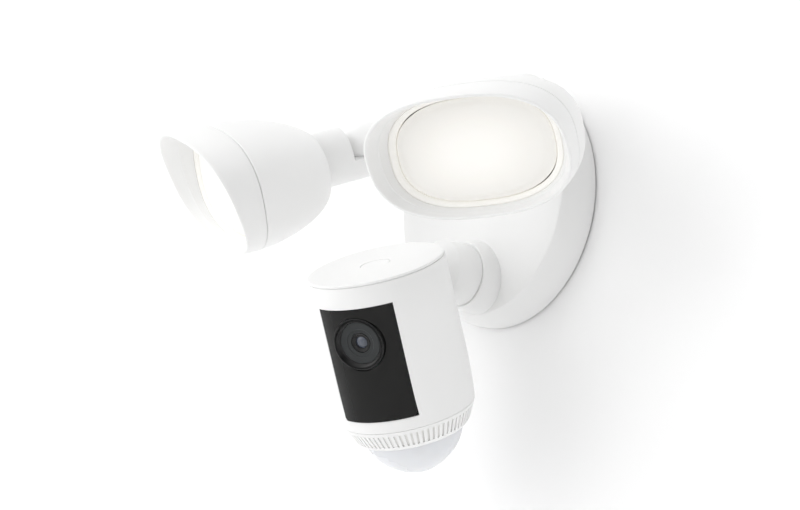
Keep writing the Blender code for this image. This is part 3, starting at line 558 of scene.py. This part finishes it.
def build_base():
    outer = base_profile(0.0, 12)
    inner = base_profile(BASE_WALL, 5)
    outer += [(BASE_REAR_R, 0.8), (BASE_REAR_R - 0.3, 0.4), (SKIRT_R, 0.4), (SKIRT_R, BASE_RIM_DEPTH)]
    shell = piece("base_shell", turned("base_shell", outer + inner[::-1], 144), FINISH["white_plastic"],
                  "white_plastic", BASE, "base", "base_housing")
    pivot = Vector(JOINTS["camera_neck_swivel"]["pos_m"]) / MM
    collar_depth = -pivot.y
    collar_place = BASE @ shift(pivot.x, pivot.z, 0)
    collar = turned("collar", [(0, collar_depth), (COLLAR_FRONT_R - 0.5, collar_depth)]
                    + arc(COLLAR_FRONT_R - 0.5, collar_depth - 0.5, 0.5, 80, 0, 4)
                    + [(COLLAR_REAR_R, COLLAR_REAR_DEPTH), (COLLAR_REAR_R, 14.0), (0, 14.0)], 80)
    changes = [("UNION", collar, collar_place)]
    for side in SIDES:
        edge = arc(ARM_BOSS_R - 0.8, -0.8, 0.8, 70, 0, 3)
        flank = [(ARM_BOSS_R, -5.0), (16.2, -8.5), (15.6, -12.0), (14.6, -16.0), (13.2, -20.0), (11.4, -25.0)]
        root = [(ARM_BOSS_INNER_R, -30.0), (ARM_BOSS_INNER_R, -ARM_BOSS_INNER_LENGTH),
                (0, -ARM_BOSS_INNER_LENGTH)]
        fairing = turned("fairing", [(0, 0), (ARM_BOSS_R - 0.8, 0)] + edge + flank + root, 72)
        changes.append(("UNION", fairing, arm_frame(side)))
    for side in SIDES:
        end = -ARM_BOSS_INNER_LENGTH - 4
        bore = turned("bore", [(0, 2), (SEAL_SEAT_R, 2), (SEAL_SEAT_R, -SEAL_SEAT_DEPTH),
                               (SPIGOT_R + GAP, -SEAL_SEAT_DEPTH), (SPIGOT_R + GAP, end), (0, end)], 40)
        changes.append(("DIFFERENCE", bore, arm_frame(side)))
    seat_depth = collar_depth - SEAL_SEAT_DEPTH
    neck_bore = turned("neck_bore", [(0, collar_depth + 2), (COLLAR_SEAT_R, collar_depth + 2),
                                     (COLLAR_SEAT_R, seat_depth), (COLLAR_BORE_R, seat_depth),
                                     (COLLAR_BORE_R, 10), (0, 10)], 40)
    changes.append(("DIFFERENCE", neck_bore, collar_place))
    top_screw = BASE @ shift(z=TOP_SCREW_DEPTH) @ turn(-90, "X")
    screw_way = turned("screw_way", [(0, 75), (SCREW_POCKET_R, 75), (SCREW_POCKET_R, SCREW_SEAT_R),
                                     (SCREW_HOLE_R, SCREW_SEAT_R), (SCREW_HOLE_R, 60), (0, 60)], 32)
    changes.append(("DIFFERENCE", screw_way, top_screw))
    carve(shell, changes)
    soften(shell, 0.45)


# ---------------------------------------------------------------- floodlight arms and necks


def build_arm(side):
    place = arm_frame(side)
    elbow = Vector(JOINTS[f"{side}_elbow"]["pos_m"])
    length = (elbow - place.translation).length / MM
    profile = [(0, length + ARM_R)] + arc(0, length, ARM_R, 86, 0, 14)
    profile += [(ARM_R, 1.3)] + arc(ARM_R - 0.8, 1.1, 0.8, 0, -80, 4)
    profile += [(SPIGOT_R, GAP), (SPIGOT_R, -SPIGOT_LENGTH), (SPIGOT_BORE_R, -SPIGOT_LENGTH),
                (SPIGOT_BORE_R, 8.0), (0, 8.0)]
    name = f"{side}_arm_moulding"
    arm = piece(name, turned(name, profile, 72), FINISH["white_plastic"], "white_plastic", place,
                f"{side}_arm_body", f"{side}_arm")
    step = length - NECK_CUT
    lap = box("lap", (-20, -20, step), (20, LAP_GAP, length + ARM_R + 4))
    pin = place @ shift(z=length) @ turn(-90, "X")
    carve(arm, [("DIFFERENCE", lap, place),
                ("DIFFERENCE", disc("thread", ELBOW_SCREW_R + GAP, -2, 9.5, 24), pin)])
    soften(arm, 0.5)


def build_neck(side):
    place = neck_frame(side)
    end = HEAD_BACK - GAP
    tail = HEAD_BACK + HEAD_WALL + 4.5
    profile = [(0, tail), (TWIST_SPIGOT_R, tail), (TWIST_SPIGOT_R, end), (NECK_R - 0.5, end),
               (NECK_R, end - 0.5)]
    profile += arc(0, 0, NECK_R, 0, -86, 14) + [(0, -NECK_R)]
    name = f"{side}_neck_moulding"
    neck = piece(name, turned(name, profile, 72), FINISH["white_plastic"], "white_plastic", place,
                 f"{side}_neck_body", f"{side}_neck")
    pin = place @ turn(-90, "X")
    carve(neck, [("DIFFERENCE", box("lap", (-20, -LAP_GAP, -20), (20, 20, ARM_R + 0.5)), place),
                 ("DIFFERENCE", disc("hole", ELBOW_SCREW_R + GAP, -30, 2, 24), pin),
                 ("DIFFERENCE", disc("pocket", 5.2, -30, -11.4, 36), pin),
                 ("DIFFERENCE", disc("wire_way", 5.0, NECK_CUT + 4, tail + 4, 36), place)])
    soften(neck, 0.5)


# ---------------------------------------------------------------- floodlight heads


def head_growth(share, fullness):
    """How far the housing has opened, from 0 at its back to 1 at the seam."""
    return (1 - (1 - share) ** fullness) ** (1 / fullness)


def housing_sections(inset, count):
    """Ovals from the back of the head housing to the seam, moved in by inset."""
    sections = []
    for i in range(count):
        share = (i / (count - 1)) ** 1.9
        width = NECK_R + (HEAD_HALF_WIDTH - NECK_R) * head_growth(share, WIDTH_FULLNESS) - inset
        height = NECK_R + (HEAD_HALF_HEIGHT - NECK_R) * head_growth(share, HEIGHT_FULLNESS) - inset
        squareness = 2 + (HEAD_SQUARENESS - 2) * head_growth(share, WIDTH_FULLNESS)
        along = HEAD_BACK + (HEAD_SEAM - HEAD_BACK - GAP) * share + inset * (1 - share)
        sections.append(section(oval(width, height, squareness), along))
    return sections


def head_oval(inset, height, slant=0.0):
    return section(oval(HEAD_HALF_WIDTH - inset, HEAD_HALF_HEIGHT - inset), height, slant)


def build_head(side):
    place = head_frame(side)
    body = f"{side}_head"
    hole = oval(TWIST_SPIGOT_R + GAP, TWIST_SPIGOT_R + GAP, 2)
    outside = housing_sections(0.0, 26)
    seam_edge = section(oval(HEAD_HALF_WIDTH - 0.45, HEAD_HALF_HEIGHT - 0.45), HEAD_SEAM - GAP + 0.05)
    inside = housing_sections(HEAD_WALL, 10)
    outside[-1] = section(oval(HEAD_HALF_WIDTH, HEAD_HALF_HEIGHT), HEAD_SEAM - GAP - 0.45)
    sections = [section(hole, HEAD_BACK)] + outside + [seam_edge] + inside[::-1]
    sections.append(section(hole, HEAD_BACK + HEAD_WALL))
    name = f"{side}_head_shell"
    piece(name, loft(name, sections, close_loop=True), FINISH["white_plastic"], "white_plastic",
          place, body, f"{side}_head_housing")

    name = f"{side}_hood_moulding"
    rim = HEAD_SEAM + HOOD_MEAN
    sections = [
        section(oval(HEAD_HALF_WIDTH - 6.0, HEAD_HALF_HEIGHT - 4.6), HEAD_SEAM),
        head_oval(0.5, HEAD_SEAM),
        head_oval(0.12, HEAD_SEAM + 0.15),
        head_oval(0.0, HEAD_SEAM + 0.5),
        head_oval(0.0, HEAD_SEAM + 4.0, HOOD_SLANT * 0.2),
        head_oval(0.0, rim - 1.4, HOOD_SLANT),
        head_oval(0.12, rim - 0.7, HOOD_SLANT),
        head_oval(0.45, rim - 0.2, HOOD_SLANT),
        head_oval(0.95, rim, HOOD_SLANT),
        head_oval(1.5, rim - 0.15, HOOD_SLANT),
        head_oval(1.9, rim - 0.6, HOOD_SLANT),
        section(oval(HEAD_HALF_WIDTH - 2.4, HEAD_HALF_HEIGHT - 2.1), rim - 1.6, HOOD_SLANT),
        section(oval(HEAD_HALF_WIDTH - 4.6, HEAD_HALF_HEIGHT - 3.2), HEAD_SEAM + 8.6, HOOD_SLANT * 0.5),
        section(oval(HEAD_HALF_WIDTH - 4.9, HEAD_HALF_HEIGHT - 3.4), HEAD_SEAM + 8.3, HOOD_SLANT * 0.5),
        section(oval(HEAD_HALF_WIDTH - 5.3, HEAD_HALF_HEIGHT - 3.6), HEAD_SEAM + 8.2, HOOD_SLANT * 0.5),
        section(oval(HEAD_HALF_WIDTH - 7.2, HEAD_HALF_HEIGHT - 4.5), HEAD_SEAM + 2.6),
        section(oval(HEAD_HALF_WIDTH - 7.6, HEAD_HALF_HEIGHT - 4.6), HEAD_SEAM + 2.0),
    ]
    piece(name, loft(name, sections, close_loop=True), FINISH["white_plastic"], "white_plastic",
          place, body, f"{side}_hood")

    name = f"{side}_diffuser_bezel"
    wide, tall = DIFFUSER_HALF_WIDTH + 0.6, DIFFUSER_HALF_HEIGHT + 0.6
    outer_wide, outer_tall = HEAD_HALF_WIDTH - 6.6, HEAD_HALF_HEIGHT - 4.4
    sections = [
        section(oval(outer_wide - 0.6, outer_tall), HEAD_SEAM + 1.3),
        section(oval(outer_wide - 1.6, outer_tall - 0.5), HEAD_SEAM + 1.9),
        section(oval(outer_wide - 2.4, outer_tall - 1.1), HEAD_SEAM + 1.8),
        section(oval(wide + 1.2, tall + 0.9), HEAD_SEAM + 1.5),
        section(oval(wide + 0.5, tall + 0.4), HEAD_SEAM + 0.9),
        section(oval(wide, tall), HEAD_SEAM + 0.2),
        section(oval(wide, tall), HEAD_SEAM - 3.4),
        section(oval(outer_wide, outer_tall), HEAD_SEAM - 3.4),
        section(oval(outer_wide, outer_tall), HEAD_SEAM - 0.4),
    ]
    piece(name, loft(name, sections, close_loop=True), FINISH["bezel"], "soft_white",
          place, body, f"{side}_diffuser_frame")

    name = f"{side}_diffuser_lens"
    sections = [section(oval(DIFFUSER_HALF_WIDTH, DIFFUSER_HALF_HEIGHT), HEAD_SEAM - 2.6)]
    steps = [(1.0, 0.0), (0.985, 0.45), (0.965, 0.75), (0.925, 0.95), (0.905, 1.35), (0.88, 1.75),
             (0.84, 2.1), (0.76, 2.5), (0.64, 2.85), (0.5, 3.1), (0.34, 3.28), (0.17, 3.38), (0.03, 3.4)]
    for share, rise in steps:
        outline = oval(DIFFUSER_HALF_WIDTH * share, DIFFUSER_HALF_HEIGHT * share)
        sections.append(section(outline, HEAD_SEAM + rise))
    piece(name, loft(name, sections), FINISH[side], "warm_diffuser", place, body, f"{side}_diffuser")


# ---------------------------------------------------------------- camera mount


def build_camera_mount():
    seat_joint = JOINTS["camera_neck_swivel"]
    seat = axes_frame(seat_joint["pos_m"], seat_joint["axis"], (0, 0, 1))
    pivot = Vector(JOINTS["camera_tilt"]["pos_m"])
    reach = (pivot - seat.translation).length / MM
    profile = [(0, reach + BALL_R)] + arc(0, reach, BALL_R, 80, -63, 18)
    profile += [(4.2, reach - 12.5), (11.4, reach - 12.5)] + arc(11.4, reach - 13.5, 1.0, 80, 20, 4)
    profile += [(CAMERA_NECK_R - 0.5, reach - 17.2), (CAMERA_NECK_R, reach - 18.2), (CAMERA_NECK_R, 0.5),
                (CAMERA_NECK_R - 0.1, 0.25), (CAMERA_NECK_R - 0.4, 0.15), (8.5, 0.15),
                (8.5, -25.0), (5.0, -25.0), (5.0, 6.0), (0, 6.0)]
    piece("camera_neck_moulding", turned("camera_neck_moulding", profile, 80), FINISH["white_plastic"],
          "white_plastic", seat, "camera_neck_body", "camera_neck")


# ---------------------------------------------------------------- camera unit


def shell_radius(drop):
    """The shell's outer radius at a height measured down from the camera's top."""
    share = max(0.0, (drop - TAPER_DROP) / (SEAM_DROP - TAPER_DROP))
    return CAMERA_R - (CAMERA_R - SEAM_R) * share**2


def dome_profile(radius, start, depth, steps):
    """The outline of the motion sensor's dome, from its rim down to its tip on the axis."""
    points = []
    for i in range(steps + 1):
        share = math.sin(math.radians(90 * i / steps))
        reach = radius * (1 - share**DOME_POINTEDNESS) ** (1 / DOME_POINTEDNESS)
        points.append((reach, start - depth * share))
    return points


def build_shell(place):
    drops = [1.6, 2.0, 30.0, TAPER_DROP] + [TAPER_DROP + 4.8 * i for i in range(1, 5)] + [SEAM_DROP - 0.3]
    outer = [(CAMERA_R - 0.25, -1.6)] + [(shell_radius(drop), -drop) for drop in drops[1:]]
    outer.append((SEAM_R - 0.2, -SEAM_DROP))
    inner = [(SEAM_R - SHELL_WALL, -SEAM_DROP), (CAMERA_R - SHELL_WALL, -60.0),
             (CAMERA_R - SHELL_WALL, -1.6)]
    shell = piece("camera_shell_moulding", turned("camera_shell_moulding", outer + inner, 128),
                  FINISH["white_plastic"], "white_plastic", place, "camera_unit", "camera_shell")
    socket_place = place @ shift(0, CAMERA_R + CAMERA_STANDOFF, -PIVOT_DROP) @ turn(90, "X")
    rim = SOCKET_R * math.sin(math.radians(-4))
    bulge = arc(0, 0, SOCKET_R, 20, -4, 6)
    socket = turned("socket", [(0, 8.0), (SOCKET_R * 0.94, 8.0)] + bulge + [(0, rim)], 72)
    hollow_r = LINER_R + GAP
    hollow = turned("hollow", [(0, hollow_r)] + arc(0, 0, hollow_r, 80, -60, 14)
                    + [(0, -hollow_r * math.sin(math.radians(60)))], 56)
    opening = box("opening", (-WINDOW_HALF_WIDTH - GAP, -45, -WINDOW_BOTTOM - GAP),
                  (WINDOW_HALF_WIDTH + GAP, -20, -WINDOW_TOP + GAP))
    carve(shell, [("UNION", socket, socket_place), ("DIFFERENCE", hollow, socket_place),
                  ("DIFFERENCE", opening, place)])
    soften(shell, 0.3)


def build_top(place):
    profile = [(0, 0), (CAMERA_R - 1.4, 0)] + arc(CAMERA_R - 1.0, -0.6, 0.6, 80, 0, 5)
    profile += [(CAMERA_R - 0.4, -1.2), (CAMERA_R - 0.5, -1.5), (CAMERA_R - SHELL_WALL - GAP, -1.5),
                (CAMERA_R - SHELL_WALL - GAP, -3.2), (0, -3.2)]
    top = piece("top_cap_moulding", turned("top_cap_moulding", profile, 128), FINISH["white_plastic"],
                "white_plastic", place, "camera_unit", "top_cap")
    carve(top, [("DIFFERENCE", disc("opening", BUTTON_R + 0.12, -6, 3, 64), place)])
    soften(top, 0.2)

    crown = [(0, -0.35), (BUTTON_R * 0.5, -0.28), (BUTTON_R - 1.2, -0.12)]
    crown += arc(BUTTON_R - 0.5, -0.6, 0.5, 80, 0, 4)
    stem = [(BUTTON_R, -3.4), (BUTTON_R + 1.4, -3.4), (BUTTON_R + 1.4, -4.4), (1.6, -4.4), (1.6, -6.6),
            (0, -6.6)]
    piece("setup_button_moulding", turned("setup_button_moulding", crown + stem, 64), FINISH["white_plastic"],
          "white_plastic", place, "button", "setup_button")


def curved_panel(name, radius, thickness, half_width, top, bottom, corner):
    """A panel on a cylinder about Z facing -Y, with rounded lower corners, as a closed mesh."""
    columns, rows = 48, 40
    bm = bmesh.new()
    grids = []
    for r in (radius, radius - thickness):
        grid = []
        for j in range(rows + 1):
            v = j / rows
            drop = top + (bottom - top) * v
            near_end = max(0.0, corner - (bottom - drop))
            pull = corner - math.sqrt(max(0.0, corner**2 - near_end**2)) if near_end else 0.0
            width = half_width - pull
            line = []
            for i in range(columns + 1):
                x = width * (2 * i / columns - 1)
                line.append(bm.verts.new(Vector((x, -math.sqrt(r**2 - x**2), -drop)) * MM))
            grid.append(line)
        grids.append(grid)
    front, back = grids
    for grid in grids:
        for j in range(rows):
            for i in range(columns):
                bm.faces.new((grid[j][i], grid[j][i + 1], grid[j + 1][i + 1], grid[j + 1][i]))
    for j in range(rows):
        for i in (0, columns):
            bm.faces.new((front[j][i], front[j + 1][i], back[j + 1][i], back[j][i]))
    for i in range(columns):
        for j in (0, rows):
            bm.faces.new((front[j][i], front[j][i + 1], back[j][i + 1], back[j][i]))
    return new_mesh(bm, name)


def build_window(place):
    mesh = curved_panel("front_window_glass", CAMERA_R - 0.1, 2.1, WINDOW_HALF_WIDTH, WINDOW_TOP,
                        WINDOW_BOTTOM, 1.6)
    window = piece("front_window_glass", mesh, FINISH["black_gloss"], "black_gloss", place, "camera_unit",
                   "front_window")
    eye = place @ shift(0, 0, -LENS_DROP) @ turn(90, "X")
    changes = [("DIFFERENCE", disc("lens_opening", LENS_R + GAP, 20, 45, 72), eye)]
    for side in (-1, 1):
        corner = place @ shift(side * (WINDOW_HALF_WIDTH - 1.6), 0, -WINDOW_TOP - 2.6) @ turn(90, "X")
        changes.append(("DIFFERENCE", disc("microphone_hole", 0.55, 32.6, 45, 16), corner))
    carve(window, changes)
    soften(window, 0.15)

    front = CAMERA_R - 0.2
    trim = [(LENS_R, front - 0.6)] + arc(LENS_R - 0.4, front - 0.5, 0.4, 20, 160, 6)
    trim += [(LENS_R - 0.9, front - 0.8), (LENS_R - 2.4, front - 2.4), (LENS_R - 3.0, front - 2.6),
             (LENS_R - 3.0, front - 6.3), (LENS_R, front - 6.3)]
    piece("lens_trim_ring", turned("lens_trim_ring", trim, 96), FINISH["lens_trim"], "dark_grey",
          eye, "camera_unit", "lens_surround")
    disc_edge = LENS_R - 3.1
    rings = [(disc_edge, front - 2.5), (disc_edge - 0.3, front - 2.35), (7.6, front - 2.7),
             (7.4, front - 2.95), (5.6, front - 3.1), (5.4, front - 3.5), (5.4, front - 5.0),
             (disc_edge, front - 5.0)]
    piece("lens_disc", turned("lens_disc", rings, 96), FINISH["lens_ring"], "dark_grey", eye, "camera_unit")
    iris = [(5.3, front - 3.3), (5.0, front - 3.15), (4.6, front - 3.3), (3.3, front - 3.9),
            (3.3, front - 5.0), (5.3, front - 5.0)]
    piece("lens_iris_ring", turned("lens_iris_ring", iris, 72), FINISH["lens_trim"], "black_gloss", eye,
          "camera_unit")
    crown = [(0, front - 2.9)] + arc(0, front - 7.4, 4.5, 84, 44, 9) + [(3.2, front - 5.0), (0, front - 5.0)]
    piece("lens_glass_dome", turned("lens_glass_dome", crown, 64), FINISH["lens_core"], "glass", eye,
          "camera_unit", "lens_glass")


def build_grille(place):
    """A cone with narrow upright slots, over a pale liner that shows through them."""
    outer = [(SEAM_R - 0.2, -SEAM_DROP - 0.12), (SEAM_R - 0.15, -SEAM_DROP - 0.4),
             (SEAM_R - 1.0, -SEAM_DROP - 2.3), (GRILLE_R + 2.0, -GRILLE_DROP + 2.3),
             (GRILLE_R + 0.2, -GRILLE_DROP + 0.3), (GRILLE_R - 0.3, -GRILLE_DROP)]
    inner = [(DOME_R - 0.4, -GRILLE_DROP), (GRILLE_R - 0.1, -GRILLE_DROP + 2.3),
             (SEAM_R - 3.0, -SEAM_DROP - 2.3), (SEAM_R - 3.0, -SEAM_DROP - 0.12)]
    bm = bmesh.new()
    angles = []
    for i in range(GRILLE_SLOTS):
        angles += [i, i + SLOT_SHARE]
    profile = outer + inner
    grid = []
    for share in angles:
        angle = 2 * math.pi * share / GRILLE_SLOTS
        c, s = math.cos(angle), math.sin(angle)
        grid.append([bm.verts.new(Vector((r * c, r * s, z)) * MM) for r, z in profile])
    slotted = {2: (2, 3), 7: (7, 8)}
    count = len(profile)
    for k, column in enumerate(grid):
        other = grid[(k + 1) % len(grid)]
        is_slot = k % 2 == 0
        for i in range(count):
            j = (i + 1) % count
            if is_slot and i in slotted:
                continue
            bm.faces.new((column[i], column[j], other[j], other[i]))
        if is_slot:
            for line in (column, other):
                bm.faces.new((line[2], line[3], line[7], line[8]))
            bm.faces.new((column[2], other[2], other[8], column[8]))
            bm.faces.new((column[3], other[3], other[7], column[7]))
    mesh = new_mesh(bm, "sound_grille_ring", 25)
    piece("sound_grille_ring", mesh, FINISH["white_plastic"], "white_plastic", place, "camera_unit",
          "sound_grille")

    liner = [(GRILLE_R + 1.1, -GRILLE_DROP + 2.0), (SEAM_R - 1.9, -SEAM_DROP - 2.0),
             (SEAM_R - 2.5, -SEAM_DROP - 2.0), (GRILLE_R + 0.5, -GRILLE_DROP + 2.0)]
    piece("grille_liner", turned("grille_liner", liner, 96), FINISH["soft_white"], "soft_white", place,
          "camera_unit")


def build_dome(place):
    skin = dome_profile(DOME_R - 0.7, -GRILLE_DROP, DOME_TIP - GRILLE_DROP, 22)
    core = dome_profile(DOME_R - 2.9, -GRILLE_DROP, DOME_TIP - GRILLE_DROP - 2.0, 12)
    top_edge = -GRILLE_DROP + 2.2
    wall = [(0, skin[-1][1])] + skin[-2::-1] + [(DOME_R - 1.2, top_edge), (DOME_R - 2.9, top_edge)]
    wall += core[:-1] + [(0, core[-1][1])]
    piece("motion_dome_lens", turned("motion_dome_lens", wall, 96), FINISH["dome_white"], "dome_white", place,
          "camera_unit", "motion_dome")


# ---------------------------------------------------------------- light, wall and view


def plain_surface(name, colour, see_through_back):
    """A matt studio surface, which can be clear to a view from behind.

    It stays closed to light from behind, so what lies flat against its front is black in that view.
    """
    made = bpy.data.materials.new(name)
    made.use_nodes = True
    nodes, links = made.node_tree.nodes, made.node_tree.links
    shader = nodes["Principled BSDF"]
    shader.inputs["Base Color"].default_value = (*colour, 1.0)
    shader.inputs["Roughness"].default_value = 0.9
    shader.inputs["Specular IOR Level"].default_value = 0.1
    if see_through_back:
        side = nodes.new("ShaderNodeNewGeometry")
        clear = nodes.new("ShaderNodeBsdfTransparent")
        choose = nodes.new("ShaderNodeMixShader")
        links.new(side.outputs["Backfacing"], choose.inputs["Fac"])
        links.new(shader.outputs["BSDF"], choose.inputs[1])
        links.new(clear.outputs["BSDF"], choose.inputs[2])
        links.new(choose.outputs["Shader"], nodes["Material Output"].inputs["Surface"])
    return made


def stage_plane(name, size, place, finish):
    bm = bmesh.new()
    bmesh.ops.create_grid(bm, x_segments=1, y_segments=1, size=size / 2)
    mesh = bpy.data.meshes.new(name)
    bm.to_mesh(mesh)
    bm.free()
    plane = link(bpy.data.objects.new(name, mesh))
    mesh.materials.append(finish)
    plane.matrix_world = place


def aim(obj, place, target):
    obj.location = place
    obj.rotation_euler = (Vector(target) - Vector(place)).to_track_quat("-Z", "Y").to_euler()


def soft_light(name, place, target, size, power):
    data = bpy.data.lights.new(name, "AREA")
    data.shape = "DISK"
    data.size = size
    data.energy = power
    aim(link(bpy.data.objects.new(name, data)), place, target)


def soft_world():
    """A wide soft sky, brightest towards SKY_SIDE, that falls off evenly to SKY_DARK at SKY_EDGE.

    The part behind the wall is bright, but the wall keeps its light from the object.
    """
    world = bpy.data.worlds.new("studio")
    world.use_nodes = True
    nodes, links = world.node_tree.nodes, world.node_tree.links
    place = nodes.new("ShaderNodeTexCoord")
    towards = nodes.new("ShaderNodeVectorMath")
    towards.operation = "DOT_PRODUCT"
    towards.inputs[1].default_value = Vector(SKY_SIDE).normalized()
    links.new(place.outputs["Generated"], towards.inputs[0])
    spread = nodes.new("ShaderNodeMapRange")
    spread.inputs["From Min"].default_value = SKY_EDGE
    spread.inputs["From Max"].default_value = 1.0
    spread.inputs["To Min"].default_value = SKY_DARK
    spread.inputs["To Max"].default_value = SKY_BRIGHT
    links.new(towards.outputs["Value"], spread.inputs["Value"])
    behind = nodes.new("ShaderNodeSeparateXYZ")
    links.new(place.outputs["Generated"], behind.inputs["Vector"])
    rear = nodes.new("ShaderNodeMapRange")
    rear.inputs["From Max"].default_value = 0.3
    rear.inputs["To Max"].default_value = SKY_BEHIND
    links.new(behind.outputs["Y"], rear.inputs["Value"])
    brighter = nodes.new("ShaderNodeMath")
    brighter.operation = "MAXIMUM"
    links.new(spread.outputs["Result"], brighter.inputs[0])
    links.new(rear.outputs["Result"], brighter.inputs[1])
    links.new(brighter.outputs["Value"], nodes["Background"].inputs["Strength"])
    nodes["Background"].inputs["Color"].default_value = (1.0, 1.0, 1.0, 1.0)
    return world


def build_studio():
    wall = plain_surface("studio_wall", (0.97, 0.97, 0.97), True)
    stage_plane("studio_wall", STAGE_SIZE, axes_frame((0, WALL_BACK, 0), (0, -1, 0), (0, 0, 1)), wall)
    floor = plain_surface("studio_floor", (0.90, 0.90, 0.90), False)
    stage_plane("studio_floor", STAGE_SIZE, Matrix.Translation((0, 0, FLOOR_HEIGHT)), floor)

    bpy.context.scene.world = soft_world()
    bpy.context.scene.view_settings.view_transform = "Standard"

    soft_light("key", KEY_PLACE, KEY_TARGET, KEY_SIZE, KEY_POWER)


def build_view():
    azimuth, elevation = math.radians(VIEW_AZIMUTH), math.radians(VIEW_ELEVATION)
    back = Vector((math.sin(azimuth) * math.cos(elevation), -math.cos(azimuth) * math.cos(elevation),
                   math.sin(elevation)))
    data = bpy.data.cameras.new("view")
    data.lens = VIEW_LENS
    data.sensor_width = 36.0
    data.shift_x, data.shift_y = VIEW_SHIFT
    data.clip_start = 0.01
    camera = link(bpy.data.objects.new("view", data))
    aim(camera, back * VIEW_DISTANCE, (0, 0, 0))
    bpy.context.scene.camera = camera


dress_cad_nodes()
build_base()
for each_side in SIDES:
    build_arm(each_side)
    build_neck(each_side)
    build_head(each_side)
build_camera_mount()
CAMERA = camera_frame()
build_shell(CAMERA)
build_top(CAMERA)
build_window(CAMERA)
build_grille(CAMERA)
build_dome(CAMERA)
build_studio()
build_view()
